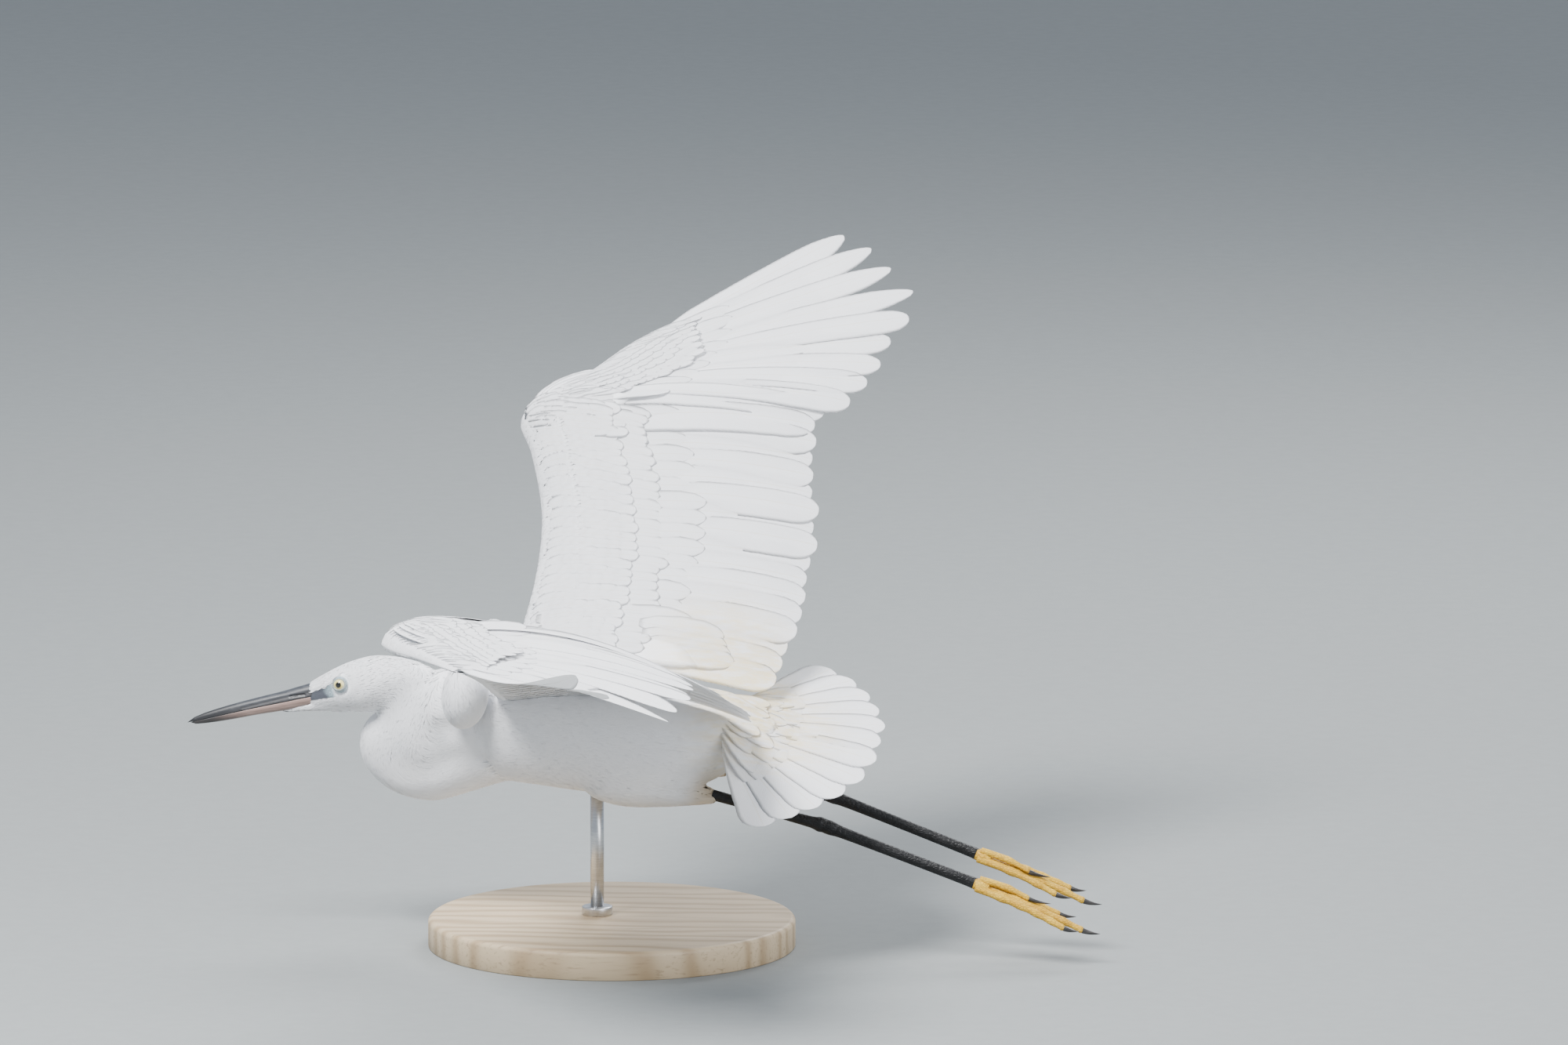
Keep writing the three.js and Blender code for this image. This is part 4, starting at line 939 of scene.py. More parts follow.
def sheetPlace(points, which, node):
    # A place on the unwrapped skin: along its chain and round it
    out = np.zeros((len(points), 2))
    for index, one in enumerate(chains):
        mine = which == index
        k = node[mine]
        away = points[mine] - one["points"][k]
        spacing = np.linalg.norm(np.diff(one["points"], axis=0), axis=1).mean()
        angle = np.arctan2(dot(away, one["above"][k]), dot(away, one["across"][k]))
        low, bottom, wide, high = one["sheet"]
        place = k + 1 + dot(away, one["along"][k]) / spacing
        u = low + wide * np.clip(place / (len(one["points"]) + 2), 0.01, 0.99)
        out[mine] = np.stack([u, bottom + high * (0.02 + 0.96 * (angle / (2 * np.pi) + 0.5))], -1)
    return out


def unwrapped(points, faces):
    # One patch for each face, by the chain nearest its middle
    middle = points[faces].mean(1)
    _, _, which, node = lieOf(middle)
    corners = [sheetPlace(points[faces[:, k]], which, node) for k in range(3)]
    base = sheetPlace(middle, which, node)
    turn = np.array([one["sheet"][3] * 0.96 for one in chains])[which]
    for corner in corners:
        corner[:, 1] -= np.round((corner[:, 1] - base[:, 1]) / turn) * turn
    return np.stack(corners, 1).reshape(-1, 2)


class Pelt:
    # A surface that tufts grow on: nearest point, its normal, way and sizes
    def __init__(self, points, normals, ways, sizes, roots):
        self.points, self.normals, self.sizes, self.roots = points, normals, sizes, roots
        self.ways = unit(ways - normals * dot(ways, normals)[:, None])
        self.tree = KDTree(len(points))
        for k, point in enumerate(points):
            self.tree.insert(point, k)
        self.tree.balance()

    def laid(self, points):
        # Points brought down to the surface, with its normal and way there
        find = self.tree.find
        k = np.fromiter((find(p)[1] for p in points.tolist()), int, len(points))
        normal = self.normals[k]
        return points - normal * dot(points - self.points[k], normal)[:, None], normal, self.ways[k]


def growTufts(pelt, chosen, generator, look):
    # Tufts that follow the surface; look holds their spread and lift
    count = len(chosen)
    normal, way = pelt.normals[chosen], pelt.ways[chosen]
    side = np.cross(normal, way)
    jitter = generator.uniform(-0.5, 0.5, (count, 2)) * look["spacing"]
    place = pelt.points[chosen] + way * jitter[:, :1] + side * jitter[:, 1:]
    length, wide, depth = pelt.sizes[chosen].T
    length = length * generator.uniform(0.75, 1.25, (count, 3))[:, 0]
    wide = wide * generator.uniform(0.8, 1.2, count)
    lean = generator.normal(0, look["spread"], count)
    curve = generator.normal(0, look["curl"], count)
    end = generator.uniform(*look["lift"], count)
    sunk, *rise = tuft["heights"]
    heights = (np.full(count, sunk), depth * rise[0], depth * rise[1] * end, depth * rise[2] * end)
    points, patch, faced, reached = [], [], [], 0
    for k, (share, width) in enumerate(zip(tuft["shares"], tuft["widths"])):
        if k:
            turn = lean + curve * share
            step = unit(way + side * turn[:, None]) * (length * (share - reached))[:, None]
            place, normal, fresh = pelt.laid(place + step)
            way = unit(way * 0.4 + fresh * 0.6)
            way = unit(way - normal * dot(way, normal)[:, None])
            side = np.cross(normal, way)
            reached = share
        at = place + normal * heights[k][:, None]
        if k < 3:
            half = (wide * width * 0.5)[:, None]
            crest = normal * (wide * tuft["ridge"] * width)[:, None]
            points += [at - side * half, at + side * half, at + crest]
            faced += [normal - side * tuft["ridge"], normal + side * tuft["ridge"], normal]
            patch += [(-0.5, share), (0.5, share), (0.0, share)]
        else:
            points.append(at)
            faced.append(normal)
            patch.append((0.0, 1.0))
    points, faced = np.stack(points, 1), unit(np.stack(faced, 1))
    # Sixteen triangles, wound outward; those on the under side take the normals turned round
    one = [[0, 1, 2]]
    for low in (0, 3):
        for a, b in ((0, 1), (1, 2), (2, 0)):
            one += [[low + a, low + a + 3, low + b], [low + b, low + a + 3, low + b + 3]]
    one = np.array(one + [[6, 9, 7], [7, 9, 8], [8, 9, 6]])[:, ::-1]
    faces = (np.arange(count)[:, None, None] * 10 + one).reshape(-1, 3)
    patch = (np.array(patch) - [0, 0.5]) * tuft["patch"]
    uv = (pelt.roots[chosen][:, None] + patch)[:, one].reshape(-1, 2)
    under = np.ones(len(one))
    under[[1, 2, 7, 8, 13]] = -1
    faced = (faced[:, one] * under[:, None, None]).reshape(-1, 3)
    return {"points": points.reshape(-1, 3), "faces": faces, "facing": faced, "uv": {"OFBake": uv}}


def addCoat(name, pelt, chosen, generator, look):
    # As many pieces as it takes to stay under the limit on triangles
    parts = int(np.ceil(len(chosen) / tuft["perPiece"]))
    for k, some in enumerate(np.array_split(chosen, parts)):
        shape = growTufts(pelt, some, generator, look)
        piece = addPiece(name + "ABCDEFGH"[k], shape, finish["coat"])
        print(piece.name, len(some), "tufts", len(shape["faces"]), "triangles")


def skinPelt():
    points = skin["points"]
    ways, sizes, which, node = lieOf(points)
    # On the shoulder the feathers hang down and back
    gap = np.linalg.norm((mirrored(points) - shoulder["centre"]) / shoulder["radii"], axis=1)
    hang = (1 - ease(gap, 1.0, 1.6))[:, None]
    ways = unit(ways * (1 - hang) + np.array([-0.5, 0, -0.86]) * hang)
    return Pelt(points, skin["normals"], ways, sizes, sheetPlace(points, which, node)), which


def growCoat():
    generator = np.random.default_rng(77)
    pelt, which = skinPelt()
    q = mirrored(toHead(skin["points"]))
    x, _, z = q.T
    # No tufts on the lores, round the eye and under the bill's root; more skin points are on the face
    eye = np.linalg.norm(q - eyeSpot["centre"], axis=1)
    bald = (skin["marks"]["lores"] > 0.3) | (eye < 6.3) | ((x > 46.5) & (z > -3.2))
    onFace = (which == 0) & (x > 6) & (np.abs(z) < 18)
    keep = np.array([coat[one["name"]]["keep"] for one in chains])[which]
    chosen = generator.random(len(q)) < np.where(onFace, tuft["faceKeep"], keep)
    for name in coat:
        kinds = [k for k, one in enumerate(chains) if one["name"] == name]
        mine = np.nonzero(chosen & ~bald & np.isin(which, kinds))[0]
        addCoat("coat" + name.title(), pelt, mine, generator, coat[name]["look"])


skin["uv"] = {"OFBake": unwrapped(skin["points"], skin["faces"])}
birdSkin = addPiece("birdSkin", skin, finish["skin"])
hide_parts("head", "neck_upper", "neck_middle", "neck_lower", "torso", "thigh_left", "thigh_right")
growCoat()


# Wings: the part's own lines, then feathers laid on them. Lines are the left wing's, in millimetres;
# the right wing mirrors them. "leftShift" curls the left wing's outer fingers. "core" is the fleshy
# front: how far back, then its height above and below; armCore and handCore give its depth and size by
# share along the edge. The skins and wristSkins are first share, last share and number of rings. The
# roots of the flight feathers run between two shares of the edge, so far behind it.
wing = {
    "leading": [
        [66, 18, 26], [67, 40, 41], [67, 73, 63], [73, 110, 86], [89, 146, 109], [101, 166, 121], [92, 186, 128],
    ],
    "armTips": [
        [-90, 30, 39], [-93, 46, 48], [-95, 72, 64.5], [-94, 98, 81], [-90, 127, 100], [-80, 156, 119],
        [-75, 183, 136],
    ],
    "handLeading": [
        [89, 146, 109], [101, 166, 121], [92, 186, 128], [73, 207, 135], [52, 238, 146.5], [27, 267, 156],
        [-19, 313, 173], [-50, 350, 186],
    ],
    "handTrailing": [
        [-80, 160, 121], [-75, 188, 137], [-82, 200, 141], [-92, 218, 147], [-101, 250, 157],
        [-106, 284, 168], [-86, 325, 180], [-52, 350, 186],
    ],
    "primaryTips": [
        [-77, 195, 139.5], [-90, 207, 143], [-96, 225, 149], [-100, 242, 154.5], [-101, 263, 161],
        [-107, 284, 168], [-104, 307, 175], [-86, 325, 180], [-70, 341, 184], [-51, 350, 186],
    ],
    "leftShift": [[-1, -3, -6], [-18, -7, -11], [-2, -5, 5], [-4, -5, 17]],
    "armNormal": [0.016, -0.54, 0.842], "handNormal": [0.046, -0.299, 0.953],
    "archRoot": 13, "archWrist": 17.5, "archTip": 3,
    "core": [
        [0, 0, 0], [3, 4.6, -3.4], [8, 6.7, -4.8], [14, 7.7, -5.3], [20, 8, -5.4], [30, 6.9, -4.7],
        [40, 5.6, -3.8], [50, 4.0, -2.7], [56, 3.0, -2.0],
    ],
    "coreEnd": 56,
    "armCore": [
        [0, 112, 1.1], [0.08, 104, 1.1], [0.16, 84, 1.05], [0.25, 66, 1], [0.42, 57, 1], [0.62, 55, 1.25],
        [0.83, 60, 1.3], [1, 60, 1.25],
    ],
    "handCore": [
        [0, 60, 1.25], [0.143, 60, 1.3], [0.29, 42, 1], [0.43, 34, 0.66], [0.57, 25, 0.42], [0.66, 13, 0.22],
    ],
    "armSkin": (0, 0.8, 60), "handSkin": (0.18, 0.66, 50), "skinInset": 0.5,
    "wristSkins": ((0.7, 0.96, 24), (0.08, 0.3, 20)), "wristInset": 0.7,
    "secondaries": 16, "primaries": 10, "webEnd": 0.76,
    "armRoots": (0.13, 0.765), "armBehind": (20, 13), "handRoots": (0.2, 0.57), "handBehind": (22, 9),
}


def sided(points, side):
    return np.asarray(points, float) * [1, side, 1]


class WingSurface:
    # Places by share along the edge, millimetres behind it and height over the arched chord
    def __init__(self, leading, trailing, up, arch, side):
        self.front, self.back = EdgeLine(sided(leading, side)), EdgeLine(sided(trailing, side))
        self.up, self.arch = up, arch

    def at(self, share, behind, height):
        given = (np.asarray(v, float) for v in (share, behind, height))
        share, behind, height = np.broadcast_arrays(*given)
        flat = share.ravel()
        a, b = self.front.at(flat), self.back.at(flat)
        c = (behind.ravel() / np.linalg.norm(b - a, axis=1))[:, None]
        rise = 4 * self.arch(flat)[:, None] * c * (1 - c) + height.ravel()[:, None]
        return (a + (b - a) * c + self.up(flat) * rise).reshape(*share.shape, 3)


def armSurface(side):
    arm, hand = sided(wing["armNormal"], side), sided(wing["handNormal"], side)
    turn = lambda share: unit(lerp(arm, hand, np.maximum(share - 0.6, 0)[:, None]))
    arch = lambda share: lerp(wing["archRoot"], wing["archWrist"], np.minimum(share / 0.83, 1))
    return WingSurface(wing["leading"], wing["armTips"], turn, arch, side)


def handSurface(side):
    hand = sided(wing["handNormal"], side)
    turn = lambda share: np.tile(hand, (len(share), 1))
    arch = lambda share: lerp(wing["archWrist"], wing["archTip"], share)
    return WingSurface(wing["handLeading"], wing["handTrailing"], turn, arch, side)


def coreSize(table, shares):
    table = np.array(table)
    return np.interp(shares, table[:, 0], table[:, 1]), np.interp(shares, table[:, 0], table[:, 2])


def coreRings(surface, table, reach, inset):
    # Rings of the fleshy front, a little inside it so that feathers cover it
    shares, thinnest = np.linspace(*reach), 0.15
    depth, size = coreSize(table, shares)
    core = np.array(wing["core"])
    behind = np.maximum(core[:, 0] * (depth[:, None] / wing["coreEnd"]), inset)
    above = np.maximum(core[:, 1] * size[:, None] - inset, thinnest)
    below = np.minimum(core[:, 2] * size[:, None] + inset, -thinnest)
    share = shares[:, None] * np.ones(len(core))
    top = surface.at(share, behind, above)
    bottom = surface.at(share, behind, below)[:, 1:][:, ::-1]
    return np.concatenate([top, bottom], axis=1)


def wingSkins(side, armReach, handReach, inset):
    inner = coreRings(armSurface(side), wing["armCore"], armReach, inset)
    return inner, coreRings(handSurface(side), wing["handCore"], handReach, inset)


# Outlines of vanes: share of the length, outer width, inner width
outlines = {
    "round": [
        [0, 0.1, 0.1], [0.08, 0.22, 0.25], [0.25, 0.72, 0.8], [0.5, 0.95, 1], [0.8, 1, 1], [0.91, 0.97, 0.95],
        [0.955, 0.86, 0.8], [0.982, 0.62, 0.55], [0.995, 0.34, 0.3], [1, 0.05, 0.05],
    ],
    "finger": [
        [0, 0.1, 0.1], [0.08, 0.3, 0.28], [0.25, 0.9, 0.85], [0.5, 1, 1], [0.8, 1, 1], [0.87, 0.9, 0.88],
        [0.92, 0.72, 0.68], [0.96, 0.52, 0.46], [0.988, 0.28, 0.26], [1, 0.04, 0.04],
    ],
    "covert": [
        [0, 0.3, 0.3], [0.2, 0.75, 0.75], [0.5, 1, 1], [0.75, 0.97, 0.97], [0.9, 0.74, 0.74],
        [0.97, 0.42, 0.42], [1, 0.06, 0.06],
    ],
    "tail": [
        [0, 0.16, 0.16], [0.3, 0.55, 0.55], [0.58, 0.82, 0.82], [0.84, 1, 1], [0.92, 0.92, 0.92],
        [0.965, 0.68, 0.68], [0.988, 0.4, 0.4], [1, 0.05, 0.05],
    ],
}


def vaneSheet(count, size):
    # Rectangles of a sheet, one for each feather, for the baked map
    columns = int(math.ceil(math.sqrt(count * 3)))
    rows = int(math.ceil(count / columns))
    k = np.arange(count)
    return np.stack([(k % columns) / columns, (k // columns) / rows], -1), np.array([1 / columns, 1 / rows]) * size


def plateFaces(n, m):
    # Triangles of a closed plate: n by m points above, then the same below, and the rim
    i, j = np.meshgrid(np.arange(n - 1), np.arange(m - 1), indexing="ij")
    a = (i * m + j).ravel()
    quads = np.stack([a, a + 1, a + m + 1, a + m], -1)
    under = quads + n * m
    # The rim in order: first row, last column, last row back and first column back
    rim = np.concatenate([
        np.arange(m), np.arange(2 * m - 1, n * m, m), np.arange(n * m - 2, (n - 1) * m - 1, -1),
        np.arange((n - 2) * m, 0, -m),
    ])
    following = np.roll(rim, -1)
    faces = np.vstack([
        quads[:, [0, 1, 2]], quads[:, [0, 2, 3]], under[:, [0, 2, 1]], under[:, [0, 3, 2]],
        np.stack([rim, rim + n * m, following], -1), np.stack([following, rim + n * m, following + n * m], -1),
    ])
    # 1 above, -1 below, 0 on the rim
    facing = np.zeros(len(faces))
    facing[:2 * len(quads)] = 1
    facing[2 * len(quads):4 * len(quads)] = -1
    return faces, np.repeat(facing, 3)[:, None]


def plateFacing(shape, up, sides):
    # Both faces of a plate take its smooth upward way; the rim and sharp turns keep their own
    least = 0.7
    smooth, flat = up[shape["faces"].ravel()] * sides, flatFacing(shape)
    return np.where(np.sum(smooth * flat, -1, keepdims=True) < least, flat, smooth)


def webShape(lines, up, last):
    # The vanes close up into one thin sheet, from the roots to a share of their length
    half = 0.05
    stations = int(lines.shape[1] * last)
    rows = np.linspace(0, len(lines) - 1, len(lines) * 3)
    sheet, up = (between(v[:, :stations], rows) for v in (lines, up))
    points = np.vstack([(sheet + up * side * half).reshape(-1, 3) for side in (1, -1)])
    faces, facing = plateFaces(len(rows), stations)
    shape = facedOut(points, faces)
    shape["facing"] = plateFacing(shape, np.vstack([up.reshape(-1, 3)] * 2), facing)
    share = pairs(np.linspace(0, 1, len(rows)), np.linspace(0, 1, stations))
    corner = np.vstack([share, share])[shape["faces"].ravel()]
    shape["uv"] = {"OFBake": corner * [0.06, 0.9] + [0.93, 0.02], "vane": corner * [0, 1] + [0.5, 0]}
    return shape


def featherShapes(lines, ups, outs, halves, outline, look, generator):
    # Vanes as thin closed plates; lines are (feathers, stations, 3), evenly spaced in share, and the
    # plates' own stations stand closer towards the tip
    raggedFrom, towardEdge, towardTip, roundness = 0.15, 0.55, 0.7, 0.07
    count, stations = lines.shape[:2]
    share = 1 - (1 - np.linspace(0, 1, stations)) ** look["pace"]
    centre, up, out = (between(v, share * (stations - 1), 1) for v in (lines, ups, outs))
    table = np.array(outlines[outline])
    outer, inner = (half * np.interp(share, table[:, 0], table[:, k]) for half, k in zip(halves, (1, 2)))
    across = np.linspace(-1, 1, look["across"])
    drawn = generator.normal(0, 1, (count, stations, 2))
    wobble = 1 + look["ragged"] * drawn * (share > raggedFrom)[None, :, None]
    half = np.where(across > 0, (outer * wobble[..., 0])[..., None], (inner * wobble[..., 1])[..., None])
    shift = half * across
    height = look["crown"] * (1 - across**2) * half + look["lift"] * across
    sheet = centre[:, :, None] + out[:, :, None] * shift[..., None] + up[:, :, None] * height[..., None]
    thick = look["thick"] * 0.5 * (1 - towardEdge * np.abs(across)) * (1 - towardTip * share)[None, :, None]
    thick = up[:, :, None] * thick[..., None]
    points = np.concatenate([(sheet + way * thick).reshape(count, -1, 3) for way in (1, -1)], axis=1)
    faces, facing = plateFaces(stations, look["across"])
    upward = up[:, :, None] + out[:, :, None] * (roundness * across)[None, None, :, None]
    upward = unit(upward).reshape(count, -1, 3)
    grid = np.vstack([pairs(share, across)] * 2)
    allFaces = (np.arange(count)[:, None, None] * len(grid) + faces).reshape(-1, 3)
    shape = facedOut(points.reshape(-1, 3), allFaces)
    order = np.array([0, 1, 2]) if np.array_equal(shape["faces"], allFaces) else np.array([2, 1, 0])
    corner = grid[faces[:, order]].reshape(-1, 2)
    vane = np.tile(corner[:, ::-1], (count, 1))
    # On the baked map each feather has a rectangle, its upper face below and its under face above
    origin, size = vaneSheet(count, 0.92)
    local = np.stack([corner[:, 1] * 0.5 + 0.5, corner[:, 0]], -1)
    flip = (np.tile(faces[:, order].reshape(-1), count) >= stations * look["across"])[:, None]
    baked = np.repeat(origin, len(corner), axis=0) + np.tile(local, (count, 1)) * size * [1, 0.48]
    shape["uv"] = {"OFBake": baked + flip * size * [0, 0.5], "vane": vane}
    upward = np.concatenate([upward, upward], axis=1).reshape(-1, 3)
    shape["facing"] = plateFacing(shape, upward, np.tile(facing, (count, 1)))
    return shape


def shaftShapes(lines, ups, look):
    # The shaft of each feather, a thin tapering ridge on both faces
    shaftEnd, taper, flatness, corners = 0.93, 0.86, 0.9, 5
    keep = np.linspace(0, int((lines.shape[1] - 1) * shaftEnd), 10).astype(int)
    centre, up = lines[:, keep], ups[:, keep]
    along = unit(np.gradient(centre, axis=1))
    side = np.cross(up, along)
    size = look["shaft"] * (1 - taper * np.linspace(0, 1, len(keep)))[None, :, None]
    angle = np.linspace(0, 2 * np.pi, corners + 1)[:-1]
    ways = np.stack([side * np.cos(a) + up * np.sin(a) * flatness for a in angle], 2)
    rings = centre[:, :, None] + ways * size[:, :, None] + up[:, :, None] * look["rise"]
    made = []
    for ring, way, above in zip(rings, ways, up):
        shape = loftShape(ring)
        shape["facing"] = np.vstack([way.reshape(-1, 3), above[:1], above[-1:]])[shape["faces"].ravel()]
        made.append(shape)
    shape = together(made)
    total = shape["faces"].size
    shape["uv"] = {"OFBake": np.full((total, 2), 0.995), "vane": np.zeros((total, 2))}
    return shape


def withUv(shapes):
    made = together(shapes)
    layers = shapes[0]["uv"].keys()
    made["uv"] = {layer: np.vstack([shape["uv"][layer] for shape in shapes]) for layer in layers}
    return made


def levelUps(lines, up):
    # Upward ways square to the sheet that the lines span
    level = np.cross(unit(np.gradient(lines, axis=1)), np.gradient(lines, axis=0))
    return unit(level * np.sign(np.sum(level * up, -1, keepdims=True)))


def frameLines(lines, up):
    # Upward and outward ways at each station of each line
    along = unit(np.gradient(lines, axis=1))
    up = np.broadcast_to(up, lines.shape)
    up = unit(up - along * np.sum(up * along, -1, keepdims=True))
    return up, np.cross(along, up)


def arched(root, tip, normal, arch, t):
    t = t[None, :, None]
    line = root[:, None] * (1 - t) + tip[:, None] * t
    return line + normal[:, None] * (4 * np.asarray(arch)[:, None, None] * t * (1 - t))


def armLines(side, shares, t):
    surface = armSurface(side)
    rootShare = lerp(*wing["armRoots"], shares)
    least, more = wing["armBehind"]
    root = surface.at(rootShare, least + more * np.sin(np.pi * shares), 0.0)
    tip = EdgeLine(sided(wing["armTips"], side)).atLength(shares)
    # Near the wrist the arm's lines come to those of the hand
    meet = 0.5 * ease(shares, 0.5, 1)
    normal = unit(lerp(surface.up(rootShare), sided(wing["handNormal"], side), meet[:, None]))
    reach = np.linalg.norm(tip - root, axis=1) / 160
    arch = lerp(wing["archRoot"], wing["archWrist"], shares) - 6 * meet
    return arched(root, tip, normal, arch * reach**2, t), normal


def handLines(side, shares, t):
    surface = handSurface(side)
    root = surface.at(lerp(*wing["handRoots"], shares), lerp(*wing["handBehind"], shares), 0.0)
    tip = EdgeLine(sided(wing["primaryTips"], side)).at(shares)
    meet = 0.5 * (1 - ease(shares, 0, 0.4))
    normal = unit(lerp(sided(wing["handNormal"], side), sided(wing["armNormal"], side), meet[:, None]))
    lines = arched(root, tip, normal, lerp(11, 1, shares) + 7 * meet, t)
    if side > 0:
        curled = np.clip((shares - 2 / 3) * 3, 0, 1)
        curls = EdgeLine(wing["leftShift"]).at(curled) * (shares > 0.66)[:, None]
        lines = lines + curls[:, None] * (np.maximum(t, 0) ** 4.5)[None, :, None]
    return lines, normal


def featherRow(lines, normal, side, halves, outline, look, generator):
    # Feathers on their lines; in rows of more than four they lie level with one another
    if normal.ndim == 2:
        normal = levelUps(lines, normal[:, None]) if len(lines) > 4 else normal[:, None]
    up, out = frameLines(lines, normal)
    out = out * np.where(np.sum(out * [0, side, 0], -1, keepdims=True) < 0, -1, 1)
    pieces = [featherShapes(lines, up, out, halves, outline, look, generator)]
    if look.get("shaft"):
        pieces.append(shaftShapes(lines, up, look))
    return withUv(pieces)


# Kinds of vanes: points across, raggedness of the edges, height of the crown and of the outer edge,
# thickness, radius and rise of the shaft, and how much closer the stations stand towards the tip
flight = {
    "across": 9, "ragged": 0.008, "crown": 0.015, "lift": 0.13, "thick": 0.42,
    "shaft": 0.5, "rise": 0.0, "pace": 1.6,
}
covert = {
    "across": 7, "ragged": 0.015, "crown": 0.03, "lift": 0.12, "thick": 0.32,
    "shaft": 0.2, "rise": 0.1, "pace": 1.5,
}
lesser = {"across": 5, "ragged": 0.03, "crown": 0.05, "lift": 0.08, "thick": 0.26, "pace": 1.4}
# Widths of the outer and inner vane, and the share of the hand from which its feathers are fingers
vaneHalves = {"arm": (9.0, 13.5), "hand": (8.5, 13.0), "finger": (8.0, 13.5), "fingersFrom": 0.6}
# Tiers of coverts, two above and two below: their reach along the flight feathers, and their height
# at root and end
armTier = {"count": 17, "first": 0.02, "last": 1.0}
armTiers = [
    {**armTier, "reach": (0.02, 0.5), "height": (0.8, 0.26), "halves": (7.6, 9.5)},
    {**armTier, "reach": (-0.02, 0.3), "height": (1.9, 0.5), "halves": (7.6, 9.0)},
    {**armTier, "reach": (0.05, 0.44), "height": (-0.8, -0.26), "halves": (7.6, 9.5)},
    {**armTier, "reach": (0.02, 0.27), "height": (-1.6, -0.5), "halves": (7.6, 9.0)},
]
longTier = {"count": 10, "first": -0.02, "last": 0.9, "halves": (6.6, 8.5)}
shortTier = {"count": 10, "first": -0.02, "last": 0.76, "halves": (6.2, 7.5)}
handTiers = [
    {**longTier, "reach": (0.03, 0.4), "height": (0.8, 0.26)},
    {**shortTier, "reach": (0.0, 0.25), "height": (1.7, 0.5)},
    {**longTier, "reach": (0.05, 0.36), "height": (-0.8, -0.26)},
    {**shortTier, "reach": (0.02, 0.23), "height": (-1.6, -0.5)},
]
# Small coverts over the fleshy front, in rows that start so many millimetres behind the edge
armRows = {"first": 0.06, "last": 0.86, "count": 31, "sweep": 0.012, "halves": (5.4, 5.4)}
armStarts = (4, 9, 14, 20, 26, 32, 38)
lastArmRow = {**armRows, "from": 46, "length": 34, "halves": (5.8, 5.8), "level": -0.5}
handRows = {"sweep": 0.06, "halves": (4.6, 4.6)}
handStarts = (3, 7, 12, 17, 23, 30, 37)
edgeTufts = {
    "sizes": [6.5, 1.6, 0.26], "keep": 0.6,
    "look": {"spacing": 1.0, "spread": 0.12, "curl": 0.1, "lift": (0.9, 1.1)},
}


def uneven(lines, share, amount, generator):
    # Feathers a little longer or shorter than the row
    drawn = generator.uniform(-amount, amount, (len(lines), 1, 1))
    return lines + (lines[:, -1:] - lines[:, :1]) * drawn * share[None, :, None]


def tierRow(lineMaker, side, tier, generator):
    # The roots are buried in the row before
    stations, beyond, buried = 14, 0.012, 1.2
    shares = np.linspace(tier["first"], tier["last"], tier["count"])
    start, end = tier["reach"]
    lines, normal = lineMaker(side, shares, np.linspace(start, end + beyond, stations))
    low, high = tier["height"]
    share = np.linspace(0, 1, stations)
    lift = (lerp(low, high, share) - np.sign(low) * buried * (1 - ease(share, 0, 0.25)))[None, :, None]
    up, _ = frameLines(lines, normal[:, None])
    lines = uneven(lines + up * lift, share, 0.03, generator)
    return featherRow(lines, normal, side, tier["halves"], "covert", covert, generator)


def overCore(table, shares, behind, above):
    # Height of the fleshy front of the wing over the arched chord
    depth, size = coreSize(table, shares)
    core = np.array(wing["core"])
    flat = np.clip(behind / (depth[:, None] / wing["coreEnd"]), 0, 80)
    # Behind the flesh the height falls off
    rows = (core[:, 1], 1.2) if above else (core[:, 2], -1.2)
    return np.interp(flat, np.append(core[:, 0], 75), np.append(*rows)) * size[:, None]


def lesserRow(surface, table, side, row, generator, above):
    # Small coverts lying on the fleshy front of the wing
    shares = np.linspace(row["first"], row["last"], row["count"])
    shares = shares + generator.uniform(-0.004, 0.004, len(shares))
    t = np.linspace(0, 1, 8)
    behind = row["from"] + t[None, :] * row["length"] * generator.uniform(0.92, 1.08, (len(shares), 1))
    sweep = row["sweep"] * ease(shares, row["first"], row["first"] + 0.12)
    along = shares[:, None] + sweep[:, None] * t[None, :]
    height = overCore(table, shares, behind, above)
    buried = 0.9 * (1 - ease(t, 0, 0.3))
    rise = (row["level"] * (0.35 + 0.65 * t) - buried)[None, :] * (1 if above else -1)
    lines = surface.at(along, behind, height + rise)
    return featherRow(lines, surface.up(shares), side, row["halves"], "covert", lesser, generator)


def makeFlightFeathers(side, name, generator):
    t = np.linspace(0, 1, 30)
    arms = wing["secondaries"]
    handShares = np.linspace(0, 1, wing["primaries"])
    made = [armLines(side, np.linspace(0, 1, arms), t), handLines(side, handShares, t)]
    lines, normal = (np.concatenate([one[k] for one in made]) for k in (0, 1))
    lines[:arms] = uneven(lines[:arms], t, 0.012, generator)
    up = levelUps(lines, normal[:, None])
    arm = [featherRow(lines[:arms], up[:arms], side, vaneHalves["arm"], "round", flight, generator)]
    arm.append(webShape(lines, up, wing["webEnd"]))
    piece = addPiece("armFeathers_" + name, withUv(arm), finish["vane"])
    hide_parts("wing_" + name + "_arm")

    lines, up = lines[arms:], up[arms:]
    fingers = handShares > vaneHalves["fingersFrom"]
    hand = [
        featherRow(lines[some], up[some], side, vaneHalves[kind], outline, flight, generator)
        for some, kind, outline in ((~fingers, "hand", "round"), (fingers, "finger", "finger"))
    ]
    piece = addPiece("handFeathers_" + name, withUv(hand), finish["vane"])
    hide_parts("wing_" + name + "_hand")


